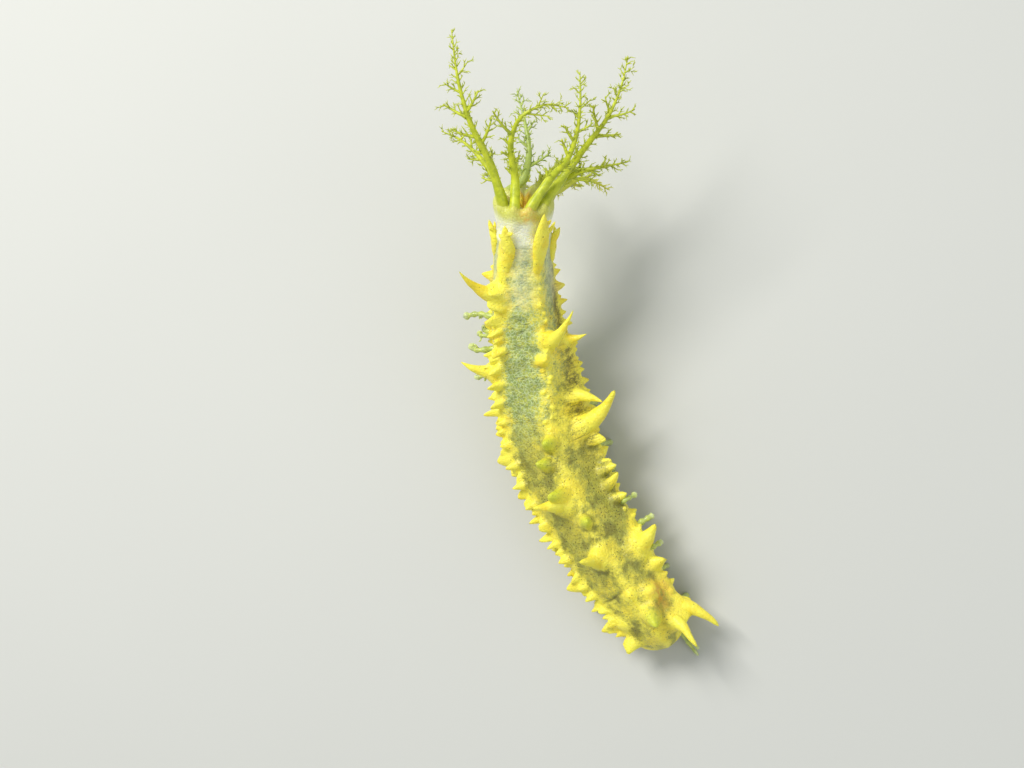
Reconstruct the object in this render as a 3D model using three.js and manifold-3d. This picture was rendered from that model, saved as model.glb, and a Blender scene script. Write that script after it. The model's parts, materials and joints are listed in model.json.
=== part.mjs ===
// A yellow, spiny sea cucumber, life size, in millimetres.
// It rests on the tube feet of its left underside on the plane z = 0, with its tail towards -Y and its
// mouth towards +Y. The front third rises off the ground and holds up a crown of ten branching tentacles.
import * as THREE from "three";
import { mergeVertices } from "three/addons/utils/BufferGeometryUtils.js";
import Module from "manifold-3d";

const wasm = await Module();
wasm.setup();

// Trunk: evenly spaced stations along the middle line, from the tail to the rim of the mouth end.
// Each one holds x, y, z, half width, half height and the roll of the back towards the animal's right.
const stations = [
  [20.2, -33.8, 3.4, 3.3, 3.1, -34],
  [17.5, -28.8, 4.5, 4.1, 3.9, -35],
  [14.3, -23.9, 5.3, 4.6, 4.4, -36],
  [11.2, -18.9, 5.8, 4.9, 4.7, -35],
  [8.3, -13.8, 6.1, 5.1, 4.9, -33],
  [6.0, -8.4, 6.4, 5.4, 5.0, -29],
  [4.4, -2.9, 7.1, 5.4, 5.0, -20],
  [3.5, 2.7, 8.8, 5.1, 4.8, -7],
  [3.2, 8.0, 11.2, 4.4, 4.2, 4],
  [3.6, 13.1, 14.1, 3.8, 3.6, 10],
  [4.4, 18.1, 17.0, 3.4, 3.3, 13],
];
const lastStation = stations.length - 1;
const stationSpacing = 5.87;
const middleOfBox = [10.566, 3.682]; // where the middle of the whole animal lies in the stations' own frame
const tailRounding = 0.75; // stations over which the tail end closes
const squareness = 2.2; // 2 is an oval section
const seam = 0.3; // gap between neighbouring pieces

// Five rows run along the trunk, each at its own angle from the middle of the back.
const rowAngle = {
  rightBack: (t) => 43 - 0.5 * t,
  leftBack: (t) => -(43 - 0.5 * t),
  rightSide: (t) => 116 - 0.8 * t,
  leftSide: (t) => -(116 - 0.8 * t),
  belly: () => 180,
};
const rowNames = Object.keys(rowAngle);
const rowRise = 0.13; // share of the radius by which a row stands out
const rowSpread = 15; // degrees

// The trunk is named in five lengths, parted at these stations.
const lengths = [
  ["body_tail", 0, 1.36],
  ["body_rear", 1.36, 4.46],
  ["body_middle", 4.46, 6.65],
  ["body_fore", 6.65, 8.5],
  ["body_neck", 8.5, 10],
];
const ringStep = 0.3; // stations
const ringSides = 26;

// Large papillae: row, station, degrees off the row, length, root radius, lean forward, lean sideways.
const largePapillae = [
  ["leftBack", 8.85, -10, 7.0, 1.45, 1.25, -0.3],
  ["leftBack", 7.05, -12, 4.8, 1.4, 0.75, -0.15],
  ["leftBack", 5.15, -14, 2.4, 1.45, 0, -0.2],
  ["leftBack", 2.2, -6, 2.4, 1.2, 0.2, -0.1],
  ["leftBack", 1.05, -10, 2.4, 1.1, 0, -0.2],
  ["leftBack", 0.5, 10, 1.9, 0.9, -0.7, 0.1],
  ["rightBack", 7.75, 2, 7.6, 1.4, 1.5, 0.5],
  ["rightBack", 7.35, -8, 1.6, 1.1, 0.3, 0],
  ["rightBack", 5.18, -4, 2.4, 1.2, 0.2, 0.1],
  ["rightBack", 4.75, -16, 2.2, 1.1, 0.3, 0.2],
  ["rightBack", 4.02, -10, 2.8, 1.2, 0.3, 0.2],
  ["rightBack", 3.85, -18, 4.8, 1.6, 0.4, -0.7],
  ["rightBack", 3.28, -1, 2.0, 1.0, 0, 0.3],
  ["rightBack", 2.48, -14, 4.2, 1.4, 0.35, -0.3],
  ["rightBack", 0.95, 8, 3.0, 1.4, -0.5, -0.2],
  ["rightSide", 7.5, -24, 3.4, 1.1, 0.3, 0],
  ["rightSide", 6.2, -24, 4.2, 1.3, -0.45, 0],
  ["rightSide", 5.3, -18, 7.4, 1.75, 0.62, 0],
  ["rightSide", 4.9, -14, 2.2, 1.1, -0.3, 0.1],
  ["rightSide", 4.15, -13, 2.2, 1.2, -0.1, 0],
  ["rightSide", 3.75, -17, 2.6, 1.2, 0.4, 0],
  ["rightSide", 3.4, -15, 1.9, 1.0, -0.1, 0],
  ["rightSide", 2.25, -16, 4.4, 1.9, 0.4, 0],
  ["rightSide", 1.75, -15, 1.8, 1.1, -0.1, 0.1],
  ["rightSide", 0.6, -32, 5.4, 1.3, -1.9, -0.4],
  ["rightSide", 0.7, 0, 5.8, 1.4, -1.6, -0.1],
  ["leftSide", 0.6, 0, 2.2, 0.9, -0.8, 0],
];

// Small papillae stand in uneven files along four rows: row, first and last station, how many, greatest length.
const smallPapillae = [
  ["leftBack", 1.55, 8.75, 32, 1.5],
  ["leftSide", 0.5, 9.2, 20, 1.7],
  ["rightBack", 1.6, 8.9, 15, 0.9],
  ["rightSide", 1.5, 9.4, 18, 1.2],
];

// Tube feet: row, first and last station, how many, radius.
const tubeFeet = [
  ["leftSide", 0.35, 8.3, 24, 0.36],
  ["belly", 0.35, 6.3, 18, 0.36],
  ["rightSide", 0.6, 6.4, 9, 0.4],
];
const looseFootLength = { leftSide: 3.2, belly: 1.8, rightSide: 2.1 };

// Oral valves: a pointed flap at the front end of each row.
const valves = {
  rightBack: { length: 4.3, angle: 37, halfWidth: 1.05 },
  leftBack: { length: 2.9, angle: -27, halfWidth: 0.9 },
  rightSide: { length: 1.6, angle: 100, halfWidth: 0.85 },
  leftSide: { length: 2.6, angle: -90, halfWidth: 0.85 },
  belly: { length: 2.4, angle: 180, halfWidth: 0.85 },
};
const valveHalfThickness = 0.5;
const flapSides = 8;

// Collar that carries the mouth and the tentacles: height above the rim, radius.
const collarProfile = [
  [0, 2.7],
  [1.7, 2.95],
  [3.0, 3.45],
  [3.4, 3.4],
];
const mouthProfile = [
  [3.4, 1.6],
  [3.0, 1.0],
  [2.2, 0.5],
];
const tentacleRing = 2.75;
const tentacleRoot = 0.68;

// Tentacles: seat round the mouth in degrees from the back, then the points that the trunk passes through, as
// forward, right and up of the rim, then the side branches as share of the trunk, turn round it from the back
// towards the right in degrees, and length.
const tentacles = [
  {
    name: "tentacle_01",
    seat: -54,
    line: [[10.6, -4.0, 1.4], [15.9, -6.4, 1.3], [20.8, -7.9, 0.2], [26.1, -8.9, -2.3]],
    branches: [[0.34, 80, 1.4], [0.37, -90, 1.6], [0.43, 85, 3.9], [0.47, -85, 3.4], [0.58, -95, 3.4], [0.6, 80, 3.1],
      [0.7, -85, 2.4], [0.78, 90, 2.2], [0.81, -90, 1.1], [0.88, 85, 0.8]],
  },
  {
    name: "tentacle_02",
    seat: -18,
    line: [[8.3, -1.0, 0.8], [13.5, -1.5, 1.2], [16.8, -0.3, 1.5], [18.5, 2.6, 1.4], [18.2, 5.4, 1.4]],
    branches: [[0.3, -100, 1.4], [0.38, 80, 1.6], [0.42, -80, 1.6], [0.5, -90, 1.3], [0.57, -75, 4.2], [0.74, 100, 2.9],
      [0.82, -80, 2.0], [0.9, 90, 1.3], [0.93, -80, 1.2]],
  },
  {
    name: "tentacle_03",
    seat: 18,
    line: [[8.4, 3.1, 1.0], [11.8, 5.4, 1.7], [15.0, 6.4, 1.4], [18.4, 6.7, 0.6], [21.7, 6.5, -1.4]],
    branches: [[0.3, -90, 1.6], [0.42, 90, 1.8], [0.5, -100, 2.4], [0.6, -85, 2.4], [0.66, 95, 2.3], [0.74, -90, 1.4],
      [0.8, 85, 1.8], [0.88, -80, 1.3], [0.93, 90, 1.0]],
  },
  {
    name: "tentacle_04",
    seat: 54,
    line: [[8.3, 5.0, -1.4], [12.3, 7.5, -1.1], [16.0, 9.9, -1.1], [19.5, 11.4, -2.2], [22.7, 12.1, -4.2]],
    branches: [[0.33, 80, 2.0], [0.42, -85, 1.6], [0.56, 90, 3.3], [0.6, -80, 3.6], [0.69, 90, 3.4], [0.71, -95, 2.0],
      [0.8, -80, 1.3], [0.84, 85, 1.2], [0.92, 90, 1.4]],
  },
  {
    name: "tentacle_05",
    seat: 90,
    line: [[6.8, 4.6, -2.2], [8.6, 7.0, -1.7], [9.5, 9.7, -1.3], [9.8, 12.6, -2.3]],
    branches: [[0.35, -90, 1.6], [0.45, 90, 3.1], [0.55, -85, 1.5], [0.65, 90, 1.6], [0.75, -90, 1.4], [0.86, 85, 1.2]],
  },
  {
    name: "tentacle_06",
    seat: 126,
    line: [[4.7, 4.2, -4.4], [5.3, 7.1, -6.8], [3.4, 10.3, -7.6]],
    branches: [[0.4, -90, 1.5], [0.55, 90, 1.6], [0.72, -90, 1.3], [0.85, 90, 1.0]],
  },
  {
    name: "tentacle_07",
    seat: 162,
    line: [[4.9, 1.4, -4.9], [5.9, 2.9, -7.4], [6.4, 4.4, -10.2]],
    branches: [[0.45, -90, 1.4], [0.6, 80, 1.5], [0.8, -85, 1.1]],
  },
  {
    name: "tentacle_08",
    seat: -162,
    line: [[4.9, -0.4, -4.8], [5.9, -1.0, -7.1], [6.6, -2.7, -9.2]],
    branches: [[0.45, 80, 1.4], [0.62, -90, 1.5], [0.8, 90, 1.0]],
  },
  {
    name: "tentacle_09",
    seat: -126,
    line: [[6.4, -0.3, -3.3], [9.5, 0.3, -4.7], [12.5, -0.4, -7.0], [15.6, -1.6, -9.4]],
    branches: [[0.3, -90, 1.8], [0.4, 90, 3.4], [0.55, -90, 2.0], [0.68, 85, 1.8], [0.8, -90, 1.5], [0.9, 90, 1.0]],
  },
  {
    name: "tentacle_10",
    seat: -90,
    line: [[6.1, -3.6, -2.9], [8.5, -5.8, -4.8], [10.2, -8.4, -6.2], [10.9, -10.8, -7.0]],
    branches: [[0.35, -90, 2.0], [0.45, 90, 1.6], [0.58, -80, 1.8], [0.7, 90, 1.4], [0.82, -90, 1.2], [0.9, 90, 0.8]],
  },
];
const trunkSides = 6;
const trunkSteps = 8;
const tipRadius = 0.17;
const branchRadius = 0.3;
const twigLength = 1.5;
const twigRadius = 0.25;
const twigSpacing = 1.3; // along a branch

const skinColour = 0xd8cf3a;
const tentacleColour = 0xb3bd22;
const collarColour = 0xe9e3bd;

// A repeatable number from 0 to 1 for piece n.
const vary = (n) => {
  const s = Math.sin(n * 12.9898 + 78.233) * 43758.5453;
  return s - Math.floor(s);
};

const vec = (x, y, z) => new THREE.Vector3(x, y, z);
const radians = THREE.MathUtils.degToRad;

// Column c of the stations at a fractional station t, on a smooth curve through them.
function along(c, t) {
  const i = Math.min(Math.max(Math.floor(t), 0), lastStation - 1);
  const f = t - i;
  const at = (k) => {
    if (k < 0) return 2 * stations[0][c] - stations[1][c];
    if (k > lastStation) return 2 * stations[lastStation][c] - stations[lastStation - 1][c];
    return stations[k][c];
  };
  const [p, q, r, s] = [at(i - 1), at(i), at(i + 1), at(i + 2)];
  return 0.5 * (2 * q + (r - p) * f + (2 * p - 5 * q + 4 * r - s) * f * f + (3 * q - p - 3 * r + s) * f ** 3);
}

// The middle line's point at station t, with the forward, back (dorsal) and right directions there.
function frameAt(t) {
  const place = (s) => vec(along(0, s), along(1, s), along(2, s));
  const small = 0.02;
  const point = place(t);
  const forward = place(t + small).sub(place(t - small)).normalize();
  const level = vec(0, 0, 1).addScaledVector(forward, -forward.z).normalize();
  const right = forward.clone().cross(level);
  const roll = radians(along(5, t));
  return {
    point,
    forward,
    back: level.clone().multiplyScalar(Math.cos(roll)).addScaledVector(right, Math.sin(roll)),
    right: right.clone().multiplyScalar(Math.cos(roll)).addScaledVector(level, -Math.sin(roll)),
  };
}

const turnBetween = (a, b) => ((((a - b + 180) % 360) + 360) % 360) - 180;

// Radius of the trunk at station t and an angle in degrees from the middle of the back.
function radiusAt(t, angle) {
  const nearTail = Math.min(Math.max(t / tailRounding, 0), 1);
  const closing = Math.sqrt(Math.max(1 - (1 - nearTail) ** 2.2, 0));
  const a = radians(angle);
  const across = Math.abs(Math.sin(a) / along(3, t)) ** squareness;
  const upright = Math.abs(Math.cos(a) / along(4, t)) ** squareness;
  const rise = rowNames.reduce((sum, row) => sum + Math.exp(-((turnBetween(angle, rowAngle[row](t)) / rowSpread) ** 2)), 0);
  return (across + upright) ** (-1 / squareness) * closing * (0.955 + rowRise * rise);
}

// The point of the skin there, the way out of it, forward and round it.
function skinAt(t, angle) {
  const { point, forward, back, right } = frameAt(t);
  const a = radians(angle);
  const out = back.clone().multiplyScalar(Math.cos(a)).addScaledVector(right, Math.sin(a));
  const round = right.clone().multiplyScalar(Math.cos(a)).addScaledVector(back, -Math.sin(a));
  return { point: point.addScaledVector(out, radiusAt(t, angle)), out, forward, round };
}

// A solid from a closed three.js geometry.
function solid(geometry) {
  geometry.deleteAttribute("normal");
  geometry.deleteAttribute("uv");
  const merged = mergeVertices(geometry, 1e-5);
  return new wasm.Manifold(
    new wasm.Mesh({
      numProp: 3,
      vertProperties: merged.attributes.position.array,
      triVerts: new Uint32Array(merged.index.array),
    }),
  );
}

// A closed body through rings of points, each ring counterclockwise as seen from its far end. It ends in a tip
// point if one is given, and otherwise in a flat face like its start.
function loft(rings, tip) {
  const n = rings[0].length;
  const positions = [];
  const index = [];
  const add = (p) => positions.push(p.x, p.y, p.z) / 3 - 1;
  rings.forEach((ring) => ring.forEach(add));
  for (let r = 0; r + 1 < rings.length; r++)
    for (let k = 0; k < n; k++) {
      const [a, b] = [r * n + k, r * n + ((k + 1) % n)];
      index.push(a, b, b + n, a, b + n, a + n);
    }
  const fan = (hub, first, turned) => {
    for (let k = 0; k < n; k++) {
      const [a, b] = [first + k, first + ((k + 1) % n)];
      if (hub !== a && hub !== b) index.push(...(turned ? [hub, b, a] : [hub, a, b]));
    }
  };
  const middle = (ring) => ring.reduce((sum, p) => sum.add(p), vec(0, 0, 0)).divideScalar(n);
  const last = (rings.length - 1) * n;
  const broad = n > 12; // a broad ring bulges in and out, so its face turns round its middle
  fan(broad ? add(middle(rings[0])) : 0, 0, true);
  if (tip) fan(add(tip), last, false);
  else fan(broad ? add(middle(rings[rings.length - 1])) : last, last, false);
  const geometry = new THREE.BufferGeometry();
  geometry.setAttribute("position", new THREE.Float32BufferAttribute(positions, 3));
  geometry.setIndex(index);
  return solid(geometry);
}

// A tapering stalk along points, with a radius at each: one that ends at 0 is pointed, and level lays the last
// ring flat.
function stalk(points, radii, sides, level = false) {
  let across = null;
  const rings = points.map((p, i) => {
    const ahead = points[Math.min(i + 1, points.length - 1)];
    const behind = points[Math.max(i - 1, 0)];
    const way = level && i === points.length - 1 ? vec(0, 0, -1) : ahead.clone().sub(behind).normalize();
    across ??= Math.abs(way.z) < 0.9 ? vec(0, 0, 1) : vec(1, 0, 0);
    across = across.clone().addScaledVector(way, -across.dot(way)).normalize();
    const side = way.clone().cross(across);
    return Array.from({ length: sides }, (_, k) => {
      const a = (2 * Math.PI * k) / sides;
      return p
        .clone()
        .addScaledVector(across, radii[i] * Math.cos(a))
        .addScaledVector(side, radii[i] * Math.sin(a));
    });
  });
  return radii.at(-1) ? loft(rings) : loft(rings.slice(0, -1), points.at(-1));
}

// One length of the trunk between two stations, with half a seam taken off each parted end.
function trunkLength(from, to) {
  const half = seam / 2 / stationSpacing;
  const first = from === 0 ? 0.012 : from + half;
  const last = to === lastStation ? to : to - half;
  const steps = Math.ceil((last - first) / ringStep);
  const places = Array.from({ length: steps + 1 }, (_, i) => first + ((last - first) * i) / steps);
  if (from === 0) places.splice(1, 0, 0.05, 0.12);
  return loft(places.map((t) => Array.from({ length: ringSides }, (_, k) => skinAt(t, (360 * k) / ringSides).point)));
}

// A papilla: a broad, slightly hollow cone that bends as it leans.
function papilla(row, t, off, length, root, lean, sideways, sides = 6) {
  const { point, out, forward, round } = skinAt(t, rowAngle[row](t) + off);
  const foot = point.clone().addScaledVector(out, -0.8 * root);
  const way = out.clone().addScaledVector(forward, lean).addScaledVector(round, sideways).normalize();
  const shares = sides > 5 ? [0, 0.3, 0.7, 1] : [0, 0.5, 1];
  const widths = sides > 5 ? [1, 0.56, 0.33, 0] : [1, 0.5, 0];
  const points = [foot];
  const radii = [root];
  shares.forEach((share, i) => {
    const turned = 0.45 + 0.4 * share;
    points.push(
      point
        .clone()
        .addScaledVector(out, length * share * (1 - turned))
        .addScaledVector(way, length * share * turned),
    );
    radii.push(root * widths[i]);
  });
  return stalk(points, radii, sides);
}

// Whether a small piece keeps clear of the seams between the lengths.
const clearOfSeams = (t, [, from, to], room) => t > from + (from ? room : 0) && t < to - room;

function papillaeOf(part) {
  const large = largePapillae.filter(([, t]) => t >= part[1] && t < part[2]).map((p) => papilla(...p));
  const small = smallPapillae.flatMap(([row, first, last, count, greatest], file) =>
    Array.from({ length: count }, (_, i) => {
      const n = 100 * file + i;
      const t = first + ((last - first) * (i + 0.6 * vary(n))) / count;
      const off = (i % 2 ? 7 : -6) + 8 * (vary(n + 0.3) - 0.5);
      const length = greatest * (0.5 + 0.5 * vary(n + 0.6));
      return [row, t, off, length, 0.45 + 0.2 * length, 0.5 * (vary(n + 0.9) - 0.4), 0, 4];
    })
      .filter(([, t]) => clearOfSeams(t, part, 0.14))
      .map((p) => papilla(...p)),
  );
  return [...large, ...small];
}

// A tube foot reaches from the skin to the ground and ends in a level disc, or hangs free where that is too far.
function tubeFoot(row, t, off, radius, reach, outstretched) {
  const { point, out } = skinAt(t, rowAngle[row](t) + off);
  const root = point.clone().addScaledVector(out, -0.9);
  const aside = out.clone().setZ(0).normalize();
  if (point.z >= 4.2 || out.z > 0.25) {
    const length = looseFootLength[row] * reach;
    const end = point.clone().addScaledVector(out, 0.5 * length).addScaledVector(aside, 0.5 * length);
    return stalk([root, point, end], [radius, radius * 0.85, radius * 0.9], 5);
  }
  const spread = { leftSide: outstretched ? 3.2 : 1.2, belly: 0.35, rightSide: 0.6 }[row] * reach;
  const end = vec(point.x + spread * aside.x, point.y + spread * aside.y, 0);
  const knee = point.clone().lerp(end, 0.5).addScaledVector(aside, 0.3);
  knee.z = Math.max(knee.z + 0.25, 0.45);
  return stalk([root, knee, end], [radius, radius * 0.85, radius * 1.25], 5, true);
}

function feetOf(part) {
  return tubeFeet.flatMap(([row, first, last, count, radius], file) =>
    Array.from({ length: count }, (_, i) => {
      const n = 1000 + 100 * file + i;
      const t = first + ((last - first) * (i + 0.5 * vary(n))) / count;
      return [row, t, (i % 2 ? 8 : -7) + 5 * (vary(n + 0.4) - 0.5), radius, 0.7 + 0.6 * vary(n + 0.7), i % 3 === 0];
    })
      .filter(([, t]) => clearOfSeams(t, part, 0.16))
      .map((f) => tubeFoot(...f)),
  );
}

// An oral valve lies along the front end of its row and points past the rim.
function valve(row) {
  const { length, angle, halfWidth } = valves[row];
  const under = skinAt(8.9, rowAngle[row](8.9));
  const low = skinAt(9.5, (rowAngle[row](9.5) + angle) / 2);
  const rim = skinAt(lastStation - 0.05, angle);
  const lift = (place, out, ahead) =>
    place.point.clone().addScaledVector(place.out, out).addScaledVector(place.forward, ahead);
  const points = [
    lift(under, -0.5, 0),
    lift(low, 0.05, 0),
    lift(rim, 0.2, 0),
    lift(rim, 0.5, 0.4 * length),
    lift(rim, 0.75, 0.78 * length),
    lift(rim, 0.9, length),
  ];
  const shares = [0.6, 1, 1, 0.95, 0.7, 0.2];
  return flap(points, shares.map((share) => share * valveHalfThickness), halfWidth / valveHalfThickness, rim.out);
}

// A flattened stalk whose thin way faces out.
function flap(points, radii, wide, out) {
  const rings = points.map((p, i) => {
    const way = points[Math.min(i + 1, points.length - 1)].clone().sub(points[Math.max(i - 1, 0)]).normalize();
    const thin = out.clone().addScaledVector(way, -out.dot(way)).normalize();
    const broad = way.clone().cross(thin);
    return Array.from({ length: flapSides }, (_, k) => {
      const a = (2 * Math.PI * k) / flapSides;
      return p
        .clone()
        .addScaledVector(thin, radii[i] * Math.cos(a))
        .addScaledVector(broad, radii[i] * wide * Math.sin(a));
    });
  });
  return loft(rings);
}

const aboveGround = solid(new THREE.BoxGeometry(200, 200, 100).translate(0, 0, 50));

// The largest closed surface of a solid.
function largest(shape) {
  const pieces = shape.decompose();
  return pieces.reduce((best, piece) => (piece.volume() > best.volume() ? piece : best));
}

function meshOf(name, shape, colour, roughness) {
  const { vertProperties, triVerts } = shape.getMesh();
  const geometry = new THREE.BufferGeometry();
  geometry.setAttribute("position", new THREE.BufferAttribute(new Float32Array(vertProperties), 3));
  geometry.setIndex(new THREE.BufferAttribute(new Uint32Array(triVerts), 1));
  geometry.computeVertexNormals();
  const mesh = new THREE.Mesh(geometry, new THREE.MeshStandardMaterial({ color: colour, roughness, metalness: 0 }));
  mesh.name = name;
  return mesh;
}

function bodyLength(part) {
  const [name, from, to] = part;
  const pieces = [trunkLength(from, to), ...papillaeOf(part), ...feetOf(part)];
  if (to === lastStation) pieces.push(...rowNames.map(valve));
  const joined = wasm.Manifold.union(pieces).intersect(aboveGround);
  return meshOf(name, largest(joined), skinColour, 0.5);
}

// The crown's own frame: forward out of the mouth, right and up.
const crown = frameAt(lastStation);
const crownPoint = ([ahead, right, up]) =>
  crown.point
    .clone()
    .addScaledVector(crown.forward, ahead)
    .addScaledVector(crown.right, right)
    .addScaledVector(crown.back, up);

function collar() {
  const outline = [[seam, 0], ...collarProfile.map(([h, r]) => [h + (h ? 0 : seam), r]), ...mouthProfile, [2.0, 0]];
  const lathe = new THREE.LatheGeometry(
    outline.map(([h, r]) => new THREE.Vector2(r, h)),
    40,
  );
  const basis = new THREE.Matrix4().makeBasis(crown.right, crown.forward, crown.back);
  basis.setPosition(crown.point);
  if (basis.determinant() < 0) throw new Error("the crown's frame is mirrored");
  return meshOf("mouth_collar", largest(solid(lathe.applyMatrix4(basis))), collarColour, 0.45);
}

// Seat of a tentacle on the collar's front face.
function seatOf(angle) {
  const a = radians(angle);
  return [collarProfile[3][0] + seam, tentacleRing * Math.sin(a), tentacleRing * Math.cos(a)];
}

// A tentacle's middle line: straight out of its seat, then through its points to the tip.
function tentacleLine(angle, points) {
  const [ahead, right, up] = seatOf(angle);
  return new THREE.CatmullRomCurve3([[ahead, right, up], [ahead + 1.3, right * 1.1, up * 1.1], ...points].map(crownPoint));
}

// Beads along the stalks already in place, so that a branch which would touch another tentacle is left out.
const taken = [];
const beadSpacing = 0.35;

function beadsAlong(points, radii, owner) {
  return points.slice(1).flatMap((end, i) => {
    const start = points[i];
    const count = Math.ceil(start.distanceTo(end) / beadSpacing);
    return Array.from({ length: count + 1 }, (_, k) => ({
      centre: start.clone().lerp(end, k / count),
      radius: radii[i] + ((radii[i + 1] - radii[i]) * k) / count,
      owner,
    }));
  });
}

const hasRoom = (beads) =>
  beads.every((bead) =>
    taken.every(
      (other) => other.owner === bead.owner || other.centre.distanceTo(bead.centre) > other.radius + bead.radius + seam,
    ),
  );

// The middle line, girth and solid of a tentacle's trunk.
function tentacleTrunk({ name, seat, line: points, branches }, index) {
  const line = tentacleLine(seat, points);
  const girth = (s) => Math.min(tentacleRoot * (1 - s) ** 0.8 + tipRadius, tentacleRoot * 1.08);
  const shares = Array.from({ length: trunkSteps + 1 }, (_, i) => i / trunkSteps);
  let across = crown.back.clone();
  const rings = shares.map((s) => {
    const way = s === 0 ? crown.forward.clone() : line.getTangentAt(s);
    across = across.addScaledVector(way, -across.dot(way)).normalize();
    const side = way.clone().cross(across);
    return Array.from({ length: trunkSides }, (_, k) => {
      const a = (2 * Math.PI * k) / trunkSides;
      return line
        .getPointAt(s)
        .addScaledVector(across, girth(s) * Math.cos(a))
        .addScaledVector(side, girth(s) * Math.sin(a));
    });
  });
  taken.push(...beadsAlong(shares.map((s) => line.getPointAt(s)), shares.map(girth), index));
  return { name, index, line, girth, branches, solid: loft(rings) };
}

// Side branch b of a tentacle, with its twigs.
function branch({ line, girth, branches, index }, b) {
  const n = 5000 + 100 * index + b;
  const [share, turnedBy, reach] = branches[b];
  const root = line.getPointAt(share);
  const way = line.getTangentAt(share);
  const up = crown.back.clone().addScaledVector(way, -crown.back.dot(way)).normalize();
  const side = way.clone().cross(up);
  const turn = radians(turnedBy);
  const out = up.multiplyScalar(Math.cos(turn)).addScaledVector(side, Math.sin(turn));
  const start = out.clone().multiplyScalar(0.85).addScaledVector(way, 0.6).normalize();
  const end = out.clone().multiplyScalar(0.7).addScaledVector(way, 0.9).normalize();
  const at = (s) =>
    root
      .clone()
      .addScaledVector(start, reach * s * (1 - 0.5 * s))
      .addScaledVector(end, reach * s * s * 0.5);
  const thick = Math.min(branchRadius, girth(share) * 0.8);
  const stalks = [{ points: [root.clone(), at(0.5), at(1)], radii: [thick, thick * 0.75, 0], sides: 4 }];
  const twigs = Math.max(1, Math.floor(reach / twigSpacing));
  for (let k = 0; k < twigs; k++) {
    const place = at(0.35 + (0.5 * (k + 0.5)) / twigs);
    const lean = radians(90 + 180 * (k % 2) + 60 * (vary(n + k + 0.8) - 0.5));
    const beside = start.clone().cross(way).normalize().multiplyScalar(Math.cos(lean));
    const across = start.clone().cross(beside.clone()).normalize().multiplyScalar(Math.sin(lean));
    const aim = beside.add(across.lengthSq() ? across : way).multiplyScalar(0.8).addScaledVector(start, 0.6).normalize();
    const tip = place.clone().addScaledVector(aim, twigLength * (1 - 0.12 * k) * (0.7 + 0.5 * vary(n + k + 0.1)));
    stalks.push({ points: [place, tip], radii: [Math.min(twigRadius, thick * 0.8), 0], sides: 3 });
  }
  const clear = stalks.map(({ points, radii }) => beadsAlong(points, radii, index)).filter(hasRoom);
  if (clear.length < stalks.length) return [];
  taken.push(...clear.flat());
  return stalks.map(({ points, radii, sides }) => stalk(points, radii, sides));
}

function tentacle(trunk) {
  const pieces = [trunk.solid];
  trunk.branches.forEach((_, b) => pieces.push(...branch(trunk, b)));
  return meshOf(trunk.name, largest(wasm.Manifold.union(pieces)), tentacleColour, 0.35);
}

const animal = new THREE.Group();
animal.name = "sea_cucumber";
lengths.forEach((part) => animal.add(bodyLength(part)));
animal.add(collar());
tentacles.map(tentacleTrunk).forEach((trunk) => animal.add(tentacle(trunk)));
animal.position.set(-middleOfBox[0], -middleOfBox[1], 0);

export default animal;
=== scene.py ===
"""A life-size, spiny yellow sea cucumber resting on its tube feet.

All lengths in the tables are millimetres, in the frame of the trunk's stations. Every piece is a surface
worked out on grids of two parameters. What looks random comes from the repeatable numbers of vary() and
grain().
"""

import json
import math
from itertools import product

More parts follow.
